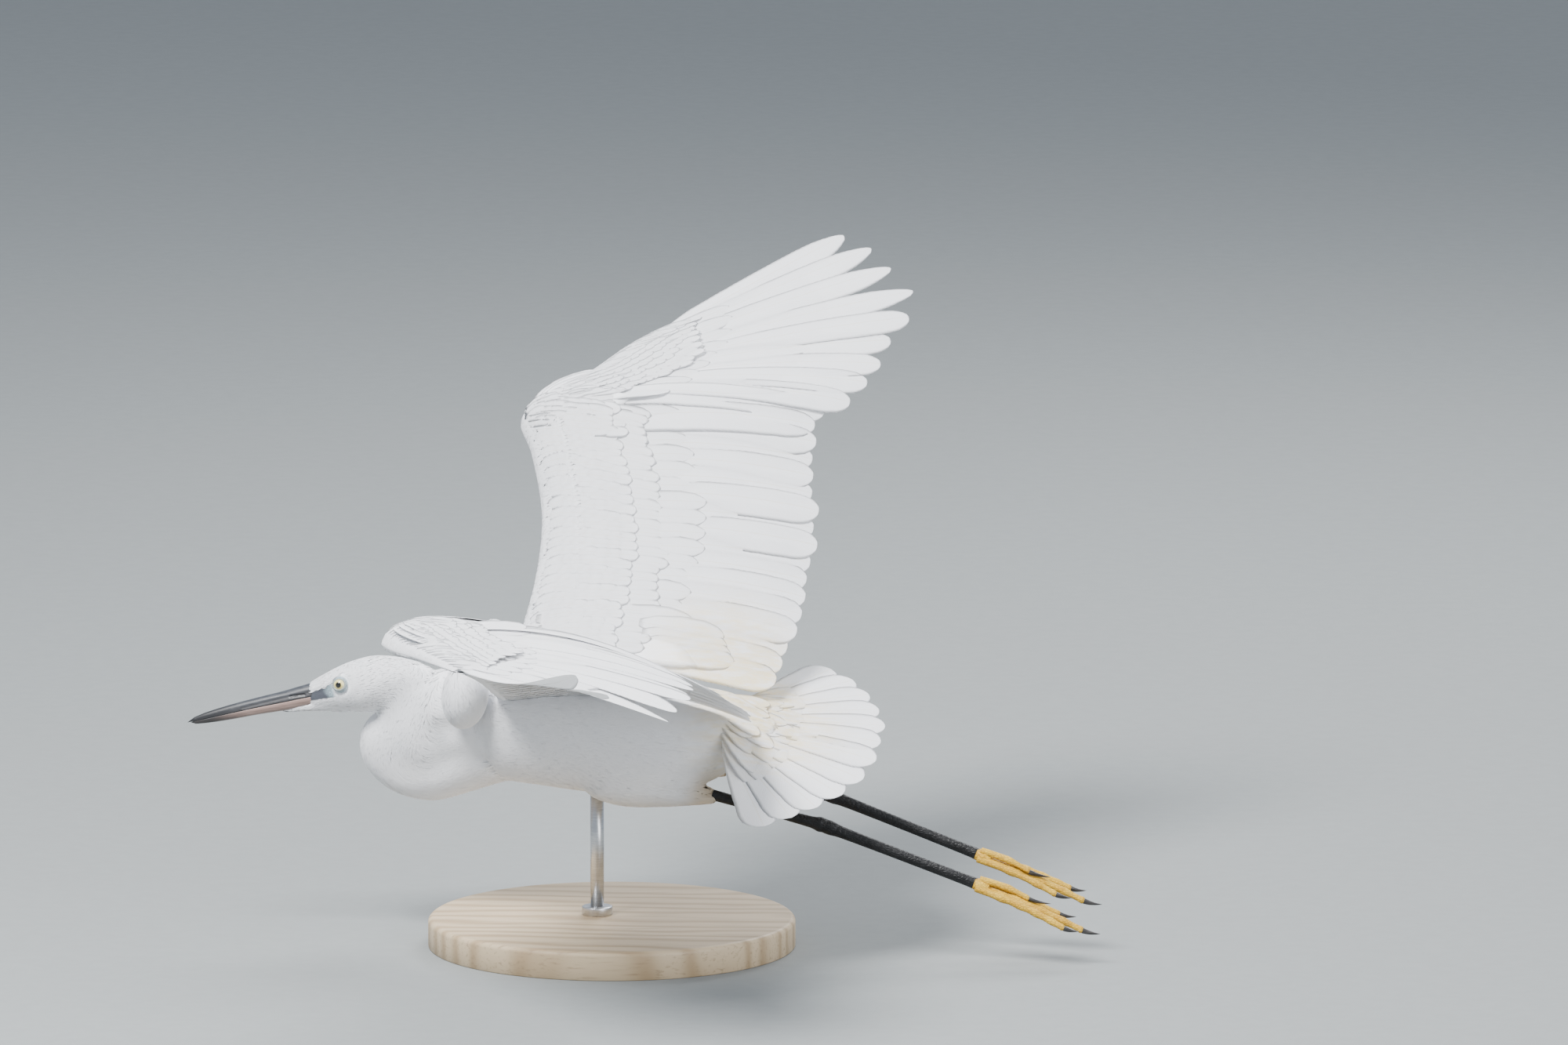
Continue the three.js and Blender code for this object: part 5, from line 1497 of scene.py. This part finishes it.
def lesserRows(side, generator):
    arm = [
        {**armRows, "from": start, "length": 18 + k, "level": 0.25 + 0.08 * k}
        for k, start in enumerate(armStarts)
    ]
    # The front rows of the hand start past the wrist, where those of the arm lie
    hand = [
        {
            **handRows, "first": 0.115 if k < 4 else 0.0, "last": 0.63 - 0.03 * k, "count": 25 - k, "from": start,
            "length": 14 + 1.5 * k, "level": 0.25 + 0.08 * min(k, 4),
        }
        for k, start in enumerate(handStarts)
    ]
    front = [(armSurface(side), wing["armCore"], row) for row in arm + [lastArmRow]]
    front += [(handSurface(side), wing["handCore"], row) for row in hand]
    return [
        lesserRow(surface, core, side, row, generator, above)
        for surface, core, row in front for above in (True, False)
    ]


def makeWing(side, name):
    generator = np.random.default_rng(300 + side)
    makeFlightFeathers(side, name, generator)
    tiers = [tierRow(armLines, side, tier, generator) for tier in armTiers]
    tiers += [tierRow(handLines, side, tier, generator) for tier in handTiers]
    piece = addPiece("coverts_" + name, withUv(tiers), finish["vane"])
    piece = addPiece("lesserCoverts_" + name, withUv(lesserRows(side, generator)), finish["vane"])
    rings = np.concatenate(wingSkins(side, wing["armSkin"], wing["handSkin"], wing["skinInset"]))
    # At the wrist the arm's and the hand's flesh run into each other
    overlaps = wingSkins(side, *wing["wristSkins"], wing["wristInset"])
    fleshy = together([loftShape(some) for some in (rings, *overlaps)])
    piece = addPiece("wingSkin_" + name, fleshy, finish["skin"])
    edgeCoat(side, name, rings, generator)


def edgeCoat(side, name, rings, generator):
    # Short feathers wrapped round the leading edge, over and under: nine points of each ring, made finer
    rings = np.concatenate([rings[:, -4:], rings[:, :5]], axis=1)
    last = rings.shape[1] - 1
    steps = np.linspace(0, last, 4 * last + 1)
    fine = between(between(rings, steps, 1), np.linspace(0, len(rings) - 1, len(rings) * 3))
    across = np.gradient(fine, axis=1)
    ways = unit(across * np.sign(steps - last / 2 + 1e-6)[None, :, None])
    normals = unit(np.cross(np.gradient(fine, axis=0), across))
    # The last points lie on the upper side
    up = normals[:, -5].mean(0) @ sided(wing["armNormal"], side)
    normals = normals * (1 if up > 0 else -1)
    points = fine.reshape(-1, 3)
    sizes = np.tile(edgeTufts["sizes"], (len(points), 1))
    roots = pairs(np.linspace(0, 1, len(fine)), steps / last)
    pelt = Pelt(points, normals.reshape(-1, 3), ways.reshape(-1, 3), sizes, roots)
    chosen = np.nonzero(generator.random(len(points)) < edgeTufts["keep"])[0]
    addCoat("coatWing_" + name, pelt, chosen, generator, edgeTufts["look"])


for side, name in ((1, "left"), (-1, "right")):
    makeWing(side, name)
print("wings made")


# Scapulars, alula and tail: sizes in millimetres, shares along the edge of arm or hand
scapular = {
    "counts": (5, 5, 5, 4), "first": 0.03, "apart": 0.04, "halves": (8.6, 8.6), "look": {**covert, "shaft": 0.25},
}
alula = {"count": 3, "first": 0.19, "last": 0.42, "halves": (4.2, 4.2), "rise": 0.45}
tail = {
    "count": 12, "spread": 58, "length": 98, "shorter": 6, "halves": (12.0, 12.0), "roll": math.radians(10),
    "root": (-63.0, 8, 21.0), "arch": 1.2, "first": 9.5, "webEnd": 0.8,
}
# Tail coverts, above and below: how many, to what angle, start and end of their reach, height at root
# and end, half their width
tailCoverts = (
    (15, 52, 14, 60, 4.0, 0.9, 7.6), (13, 46, 8, 50, 8.0, 1.8, 7.4), (11, 38, 0, 40, 12.0, 4.0, 7.0),
    (9, 30, -8, 30, 16.0, 8.0, 6.6), (15, 52, 14, 56, -3.0, -0.6, 7.6), (13, 46, 6, 46, -6.0, -1.3, 7.2),
    (11, 36, -4, 36, -11.0, -3.0, 6.8),
)


def scapularRow(side, row, count, t, generator):
    # Each row starts farther back than the one before; its feathers come down on to the coverts
    arm = armSurface(side)
    share = scapular["first"] + scapular["apart"] * np.arange(count) + 0.012 * row
    start = 22 + 20 * row - 3.0 * np.arange(count)
    end = start + 62 - 4 * row
    behind = lerp(start[:, None], end[:, None], t[None, :])
    height = 8.4 - 1.3 * row - (8.1 - 1.2 * row) * t[None, :] ** 0.7
    lines = arm.at(share[:, None], behind, height)
    return featherRow(lines, arm.up(share), side, scapular["halves"], "covert", scapular["look"], generator)


def alulaRow(side, t, generator):
    hand, lines = handSurface(side), []
    for k in range(alula["count"]):
        share, behind = lerp(alula["first"], alula["last"] - 0.03 * k, t), lerp(8 + 3 * k, 9 + 7 * k, t)
        height = overCore(wing["handCore"], share, behind[:, None], True)[:, 0] + alula["rise"]
        lines.append(hand.at(share, behind, height))
    up = hand.up(np.zeros(alula["count"]))
    return featherRow(np.stack(lines), up, side, alula["halves"], "covert", covert, generator)


def makeShoulderFeathers(side, name):
    generator = np.random.default_rng(500 + side)
    t = np.linspace(0, 1, 16)
    rows = [scapularRow(side, row, count, t, generator) for row, count in enumerate(scapular["counts"])]
    rows.append(alulaRow(side, t, generator))
    piece = addPiece("scapulars_" + name, withUv(rows), finish["vane"])


def tailLines(angles, start, end, lift, stations):
    # Lines that fan out from the rump; the fan is rolled a little and droops at its edges
    rise, level = math.sin(tail["roll"]), math.cos(tail["roll"])
    drop = -np.sin(angles) * rise - 0.05 - 0.06 * np.abs(np.sin(angles))
    way = unit(np.stack([-np.cos(angles), np.sin(angles) * level, drop], -1))
    x, y, z = tail["root"]
    root = np.stack([np.full(len(angles), x), y * np.sin(angles), np.full(len(angles), z)], -1)
    share = np.linspace(0, 1, stations)
    reach = lerp(np.asarray(start)[:, None], np.asarray(end)[:, None], share[None, :])
    bend = np.sin(np.pi * share) * tail["arch"]
    lines = root[:, None] + way[:, None] * reach[..., None]
    normal = np.tile([0, rise, level], (len(angles), 1))
    return lines + normal[:, None] * (lift + bend[None, :, None]), normal


def makeTail():
    generator = np.random.default_rng(90)
    rows = []
    count = tail["count"]
    place = np.linspace(-1, 1, count)
    angles = np.radians(np.linspace(-tail["spread"], tail["spread"], count))
    reach = tail["length"] - tail["shorter"] * place**2 + generator.uniform(-1.5, 1.5, count)
    # The middle feathers lie on top
    stack = 1.4 - 1.2 * np.abs(place)
    lines, normal = tailLines(angles, tail["first"] / np.cos(angles), reach, stack[:, None, None], 30)
    up = levelUps(lines, normal[:, None])
    for chosen, side in ((angles > 0, 1), (angles <= 0, -1)):
        rows.append(featherRow(lines[chosen], up[chosen], side, tail["halves"], "tail", flight, generator))
    rows.append(webShape(lines, up, tail["webEnd"]))
    for count, spread, start, end, high, low, half in tailCoverts:
        angles = np.radians(np.linspace(-spread, spread, count))
        ends = end + generator.uniform(-2, 2, count)
        slope = lerp(high, low, np.linspace(0, 1, 14) ** 0.8)[None, :, None]
        lines, normal = tailLines(angles, np.full(count, start), ends, slope, 14)
        rows.append(featherRow(lines, normal, 1, (half, half), "covert", covert, generator))
    piece = addPiece("tailFeathers", withUv(rows), finish["vane"])
    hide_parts("tail")


for side, name in ((1, "left"), (-1, "right")):
    makeShoulderFeathers(side, name)
makeTail()
print("tail made")


# Bill: two halves of horn, with a nostril slit and a groove before it
# Rows are x, z, half width, height above and below; the slit, groove and seam are width and depth
bill = {
    "rows": [
        [40, 1.6, 5, 7.4, 6.2], [50, 1.5, 4.7, 6.6, 5.6], [62, 1.2, 4.2, 5.8, 5.3], [78, 0.9, 3.5, 5.2, 4.5],
        [94, 0.4, 2.9, 4.5, 3.9], [108, -0.1, 2.2, 3.4, 2.9], [116, -0.4, 1.4, 2.1, 1.8],
    ],
    "tipUpper": [121, 0, -0.6], "tipLower": [119, 0, -0.8], "lowerWidth": 0.95, "gap": 0.12, "hollow": 0.35,
    "nostril": [[47.5, 0, 3.4], [56.5, 0, 3.9]], "slit": (0.5, 1.1),
    "groove": [[45, 0, 4.0], [60, 0, 3.6], [86, 0, 2.2]], "grooved": (0.8, 0.4), "seam": (0.6, 0.18),
}


def furrow(gap, size):
    # Depth of a rounded furrow at a distance from its middle
    width, depth = size
    return np.exp(-((gap / width) ** 2)) * depth


def pressedIn(points, depth, most):
    # Both sides move inward, at most by a share of their distance from the middle
    points[:, 1] -= np.sign(points[:, 1]) * np.minimum(depth, np.abs(points[:, 1]) * most)


def makeBillHalf(name, upper, paintName, node):
    # Rings round the outside and back across the slightly hollow inside
    stations, arc, flat = 170, 46, 12
    x, z, wide, up, down = smoothRows(bill["rows"], np.linspace(0, 1, stations)).T
    tall, edge, narrower = (up, bill["gap"], 1) if upper else (-down, -bill["gap"], bill["lowerWidth"])
    angle = np.linspace(0, np.pi, arc)
    height = edge + tall[:, None] * np.sin(angle) ** 0.8
    inner = np.linspace(-1, 1, flat + 2)[1:-1]
    hollow = bill["hollow"] * (1 - inner**2) * np.sign(tall)[:, None]
    ringY = wide[:, None] * np.concatenate([np.cos(angle), inner]) * narrower
    ringZ = np.hstack([height, edge + hollow * np.minimum(1, np.abs(tall))[:, None]]) + z[:, None]
    rings = np.stack([np.broadcast_to(x[:, None], ringY.shape), ringY, ringZ], -1)
    shape = loftShape(rings, None, bill["tipUpper"] if upper else bill["tipLower"])
    p = shape["points"]
    side = p * [1, 0, 1]
    if upper:
        slit = furrow(nearLine(side, bill["nostril"]), bill["slit"])
        pressedIn(p, slit + furrow(nearLine(side, bill["groove"]), bill["grooved"]), 0.8)
    else:
        pressedIn(p, furrow(p[:, 2] + 1.6, bill["seam"]) * (p[:, 0] < 90), 0.5)
    tipward = np.clip((p[:, 0] - 40) / 80, 0, 1)
    place = np.interp(p[:, 0], x, np.abs(tall))
    height = np.clip(np.abs(p[:, 2] - np.interp(p[:, 0], x, z)) / place, 0, 1)
    shape["marks"] = {"tipward": tipward, "height": height}
    shape["points"] = fromHead(p)
    piece = addPiece(name, shape, finish[paintName])
    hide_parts(node)
    return piece


makeBillHalf("billUpper", True, "billUpper", "bill_upper")
makeBillHalf("billLower", False, "billLower", "bill_lower")


# Eyes and lids
lid = {
    "radius": 3.62, "reach": 3.3, "thick": 0.62, "thicker": 0.12, "wrinkles": ((0.05, 26), (0.03, 61)),
    "upper": 0.86, "lower": 0.95, "longer": 1.06, "flatter": 0.9, "points": 120, "round": 12,
}
cornea = {"bulge": 0.4, "reach": 0.75}


def eyeFrame(side):
    # The eye's middle and its ways outward, forward and up
    outward = unit(sided(eyeSpot["outward"], side))
    forward = unit(np.cross(np.cross(outward, [1, 0, 0]), outward))
    return sided(eyeSpot["centre"], side), outward, forward, np.cross(outward, forward)


def makeEye(side, name):
    centre, outward, forward, above = eyeFrame(side)
    stations, count = 44, 56
    angle = np.linspace(0.02, np.pi - 0.02, stations)
    turn = roundAngles(count)
    radius = eyeSpot["radius"] + cornea["bulge"] * np.maximum(0, 1 - (angle / cornea["reach"]) ** 2) ** 2
    flat = np.cos(turn)[:, None] * forward + np.sin(turn)[:, None] * above
    rings = centre + radius[:, None, None] * (
        np.cos(angle)[:, None, None] * outward + np.sin(angle)[:, None, None] * flat[None])
    shape = loftShape(rings, centre + outward * radius[0], centre - outward * radius[-1])
    ring = np.where(angle < np.pi / 2, np.sin(angle), 1.0)
    shape["marks"] = {
        "ring": np.concatenate([np.repeat(ring, count), [0, 1]]),
        "turn": np.concatenate([np.tile(np.abs(turn / np.pi - 1), stations), [0, 0]]),
    }
    shape["points"] = fromHead(shape["points"])
    piece = addPiece("eye" + name.title(), shape, finish["eye"])
    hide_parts("eye_" + name)


def makeLid(side, name):
    centre, outward, forward, above = eyeFrame(side)
    n, m = lid["points"], lid["round"]
    turn, bead = roundAngles(n), roundAngles(m)
    thick = lid["thick"] + lid["thicker"] * np.sin(turn)
    for height, many in lid["wrinkles"]:
        thick = thick + height * np.sin(turn * many)
    radius = lid["radius"] + 0.05 * np.cos(2 * turn)
    # The upper lid comes down over the ball a little, which keeps the eye from staring
    opening = np.sin(turn) * np.where(np.sin(turn) > 0, lid["upper"], lid["lower"])
    flat = np.cos(turn)[:, None] * forward * lid["longer"] + opening[:, None] * above
    reach = lid["reach"] + 0.1 * np.sin(turn)
    middle = centre + flat * radius[:, None] + outward * reach[:, None]
    points = middle[:, None] + thick[:, None, None] * (
        np.cos(bead)[None, :, None] * flat[:, None] + lid["flatter"] * np.sin(bead)[None, :, None] * outward)
    i, j = np.meshgrid(np.arange(n), np.arange(m), indexing="ij")
    a, b = i * m + j, i * m + (j + 1) % m
    c, d = ((i + 1) % n) * m + (j + 1) % m, ((i + 1) % n) * m + j
    faces = np.vstack([np.stack([a, b, c], -1).reshape(-1, 3), np.stack([a, c, d], -1).reshape(-1, 3)])
    shape = facedOut(fromHead(points.reshape(-1, 3)), faces)
    piece = addPiece("eyelids" + name.title(), shape, finish["lid"])


for side, name in ((1, "left"), (-1, "right")):
    makeEye(side, name)
    makeLid(side, name)
print("head parts made")


# Legs and feet
limbRows = {
    "tibia": [[0, 2.9, 3.2], [0.5, 2.6, 3], [0.86, 2.9, 3.4], [0.95, 3.7, 4.5], [1, 3.3, 4.1]],
    "tarsus": [[0, 3.3, 4], [0.06, 3.6, 4.3], [0.16, 2.7, 3.5], [0.55, 2.5, 3.2], [0.9, 2.6, 3.3], [1, 3, 3.6]],
}
hubRows = [[0, 3.1, 3.5], [0.5, 4.4, 4], [1, 3.4, 3.0]]
# Plates of legs and toes: how far apart and how deep, and how deep the small scales between them are
plates = {"tibia": 2.4, "tarsus": 3.2, "depth": 0.22, "toe": 2.1, "toeDepth": 0.2, "padDepth": 0.16}
toes = {
    "inner": {
        "length": 50, "start": -2.6, "spread": -5, "lift": -1.2, "claw": 8, "radius": 2.9,
        "joints": (0.42, 0.74, 1.0),
    },
    "middle": {
        "length": 66, "start": 0, "spread": 0, "lift": -1.6, "claw": 9, "radius": 3.1,
        "joints": (0.36, 0.6, 0.81, 1.0),
    },
    "outer": {
        "length": 56, "start": 2.6, "spread": 5, "lift": -1.2, "claw": 7.5, "radius": 2.9,
        "joints": (0.3, 0.5, 0.68, 0.85, 1.0),
    },
    "hind": {
        "length": 30, "start": -0.6, "spread": -2, "lift": 3.2, "claw": 11.5, "radius": 2.6,
        "joints": (0.55, 1.0),
    },
}
toeDip = math.radians(16.3)


def limbRings(start, end, rows, stations, count):
    # Oval rings from start to end; rows are share of the length, half width and half depth
    across, above = limbFrame(start, end)
    share = np.linspace(0, 1, stations)
    fine = smoothRows(rows, np.linspace(0, 1, 200))
    wide, deep = (np.interp(share, fine[:, 0], fine[:, k]) for k in (1, 2))
    return ovalRings(start + share[:, None] * (end - start), across, above, wide, deep, deep, count)


def wave(x):
    # A sine or cosine brought between 0 and 1
    return 0.5 + 0.5 * x


def plateSaw(along, pitch, power):
    # Overlapping plates: each rises slowly and falls off at its end
    saw = (along / pitch) % 1.0
    return saw**0.5 * (1 - saw**power)


def raised(rings, lift):
    # A shape of rings, their points moved out by the lift, less where a ring is small
    centre = rings.mean(1, keepdims=True)
    away = rings - centre
    size = np.maximum(np.linalg.norm(away, axis=2, keepdims=True), 0.3)
    return loftShape(centre + away * (1 + lift[..., None] / size * np.minimum(size, 1)))


def makeLimb(name, node, start, end, rows, pitch):
    # Overlapping plates down the front, small scales behind
    length, count = np.linalg.norm(end - start), 26
    rings = limbRings(start, end, rows, int(length / 0.55), count)
    along = np.linspace(0, length, len(rings))[:, None]
    angle = roundAngles(count, 0.5)
    front = ease(np.sin(angle), 0.0, 0.5)[None, :]
    back = wave(np.sin(2 * np.pi * along / (pitch * 0.55))) * wave(np.cos(angle * 7))[None, :]
    lift = plates["depth"] * (plateSaw(along, pitch, 10) * front + 0.5 * back * (1 - front))
    piece = addPiece(name, raised(rings, lift), finish["leg"])
    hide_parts(node)


def toeFrame(leg, toe):
    side, spread = leg["side"], math.radians(toe["spread"]) * leg["side"]
    level = math.cos(spread)
    way = np.array([-math.cos(toeDip) * level, math.sin(spread), -math.sin(toeDip) * level])
    sole = np.array([-math.sin(toeDip), 0, math.cos(toeDip)])
    start = np.array(leg["heel"], float) + [0, toe["start"] * side, 0] + sole * toe["lift"]
    return start, way, sole, unit(np.cross(sole, way))


def toeShape(leg, toe):
    start, way, sole, across = toeFrame(leg, toe)
    length, count = toe["length"], 24
    stations = int((length + 2) / 0.5)
    s = np.linspace(0, 1, stations)
    # Thicker at the joints, thinner towards the end, and round there
    pad = np.full(stations, 0.86)
    for joint in toe["joints"]:
        pad = np.maximum(pad, 0.86 + furrow((s - joint + 0.01) * length, (3.4, 0.24)))
    radius = toe["radius"] * lerp(1, 0.62, s) * pad
    radius = radius * np.sqrt(np.clip((1.004 - s) * length / 2.2, 0.02, 1))
    centres = start + way * lerp(-2, length, s)[:, None] + sole * (1.6 * np.sin(np.pi * s))[:, None]
    angle = roundAngles(count, 0.5)
    rings = ovalRings(centres, across, sole, radius * 0.94, radius * 0.95, radius, count)
    along = np.linspace(0, length, stations)[:, None]
    # Plates run along the upper side, which faces down in the trailing foot; the sole has soft pads
    upper = ease(-np.sin(angle), 0.1, 0.6)[None, :]
    pads = wave(np.sin(along * 5.2)) * wave(np.cos(angle * 8))[None, :] * plates["padDepth"]
    lift = plateSaw(along, plates["toe"], 8) * plates["toeDepth"] * upper + pads * (1 - upper)
    return raised(rings, lift)


def clawShape(leg, toe):
    start, way, sole, across = toeFrame(leg, toe)
    s = np.linspace(0, 1, 40)
    base = start + way * (toe["length"] - 1.0)
    centres = base + way * (s * (toe["claw"] + 1.3))[:, None] + sole * (2.3 * s**2)[:, None]
    size = toe["radius"] * 0.56 * (1 - 0.9 * s**1.3)
    rings = ovalRings(centres, across, sole, size * 0.82, size, size * 1.05, 20)
    tip = base + way * (toe["claw"] + 1.7) + sole * 2.5
    return loftShape(rings, None, tip)


def makeLeg(leg):
    name = leg["name"]
    title = name.title()
    root, ankle, heel = (np.array(leg[key], float) for key in ("tuft", "ankle", "heel"))
    shin, shank = unit(ankle - root), unit(heel - ankle)
    limbs = {
        "tibia": (root - shin * 2, ankle + shin * 1.0),
        "tarsus": (ankle - shank * 1.5, heel - shank * 1.6),
    }
    for limb, (start, end) in limbs.items():
        makeLimb(limb + title, limb + "_" + name, start, end, limbRows[limb], plates[limb])
    parts = [loftShape(limbRings(heel - shank * 4, heel + shank * 5, hubRows, 24, 24))]
    parts += [toeShape(leg, toe) for toe in toes.values()]
    piece = addPiece("foot" + title, together(parts), finish["toe"])
    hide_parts("foot_" + name)
    claws = together([clawShape(leg, toe) for toe in toes.values()])
    piece = addPiece("claws" + title, claws, finish["claw"])
    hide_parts(*("claw_" + name + "_" + toe for toe in toes))


for leg in legs:
    makeLeg(leg)
print("legs made")


# Stand: a turned wooden base, a steel rod with a collar
stand = {"radius": 108, "thick": 17, "edge": 3, "rod": 4, "collar": 9, "collarTall": 5, "entry": [8, 0, -20]}


def turnedShape(profile, middle, count):
    # A profile of (radius, height) turned about an upright axis
    angle = roundAngles(count)
    circle = np.stack([np.cos(angle), np.sin(angle), 0 * angle], -1)
    rings = np.array([middle + r * circle + [0, 0, h] for r, h in profile])
    shape = loftShape(rings)
    return {"points": shape["points"] / 1000, "faces": shape["faces"]}


def rounded(radius, low, high, edge, steps):
    angle = np.linspace(0, np.pi / 2, steps)
    profile = [(radius - edge + edge * math.cos(a), high - edge + edge * math.sin(a)) for a in angle]
    return [(radius - 0.6, low), (radius, low + 0.6)] + profile


entry = toRoom(stand["entry"]) * 1000
base = turnedShape(rounded(stand["radius"], 0, stand["thick"], stand["edge"], 10), np.zeros(3), 128)
piece = addPiece("standBase", base, finish["wood"], inRoom=True)
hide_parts("stand_base")
foot = stand["thick"] - 0.2
rod = [(stand["rod"], foot), (stand["rod"], entry[2])]
collar = rounded(stand["collar"], foot, foot + stand["collarTall"] + 0.3, 0.8, 6)
place = np.array([entry[0], entry[1], 0])
steel = together([turnedShape(rod, place, 40), turnedShape(collar, place, 56)])
piece = addPiece("standRod", steel, finish["steel"], inRoom=True)
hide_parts("stand_rod")
print("stand made")


# Studio: a pale floor, soft lights, and the photograph's viewing angle
view = {"elevation": 10, "lens": 400, "sensor": 36, "far": 200, "distance": 10.222, "right": 0.1012, "up": 0.1281}
floorSize = {"side": 14.0, "front": -16, "back": 40.0}
air = {"colour": (0.72, 0.8, 0.92, 1), "strength": 0.75}
lights = {
    "keyLight": {"energy": 165, "size": 1.1, "place": (-0.9, -1.2, 2.2), "aim": (0, 0, 0.15)},
    "fillLight": {"energy": 46, "size": 1.8, "place": (1.6, -1.8, 0.9), "aim": (0, 0, 0.15)},
    "backLight": {"energy": 50, "size": 1.2, "place": (0.7, 1.6, 1.8), "aim": (0, 0, 0.2)},
}


def makeFloor():
    side, front, back = floorSize["side"], floorSize["front"], floorSize["back"]
    points = np.array([[-side, front, 0], [side, front, 0], [side, back, 0], [-side, back, 0]])
    shape = {"points": points, "faces": np.array([[0, 1, 2, 3]])}
    floor = addPiece("studioFloor", shape, finish["floor"], None, smooth=False, inRoom=True)


def addLight(name, energy, size, place, aim):
    light = bpy.data.lights.new(name, "AREA")
    light.shape = "DISK"
    light.energy, light.size = energy, size
    holder = bpy.data.objects.new(name, light)
    bpy.context.scene.collection.objects.link(holder)
    place, aim = np.array(place, float), np.array(aim, float)
    turn = Matrix(turnTo(aim - place).tolist()).to_4x4()
    holder.matrix_world = Matrix.Translation(place) @ turn


def turnTo(way):
    back = -unit(way)
    right = unit(np.cross([0, 0, 1.0], back))
    return np.stack([right, np.cross(back, right), back], -1)


def makeCamera():
    tilt = math.radians(view["elevation"])
    target = np.array([0, 0, pose["height"] / 1000]) + [view["right"], 0, 0]
    target = target + view["up"] * np.array([0, math.sin(tilt), math.cos(tilt)])
    way = np.array([0, math.cos(tilt), -math.sin(tilt)])
    data = bpy.data.cameras.new("photoView")
    data.lens, data.sensor_width, data.clip_end = view["lens"], view["sensor"], view["far"]
    camera = bpy.data.objects.new("photoView", data)
    bpy.context.scene.collection.objects.link(camera)
    turn = Matrix(turnTo(way).tolist()).to_4x4()
    camera.matrix_world = Matrix.Translation(target - way * view["distance"]) @ turn
    bpy.context.scene.camera = camera


makeFloor()
makeCamera()
world = bpy.data.worlds.new("studioAir")
world.use_nodes = True
world.node_tree.nodes["Background"].inputs["Color"].default_value = air["colour"]
world.node_tree.nodes["Background"].inputs["Strength"].default_value = air["strength"]
bpy.context.scene.world = world
for name, light in lights.items():
    addLight(name, **light)
print("studio made")
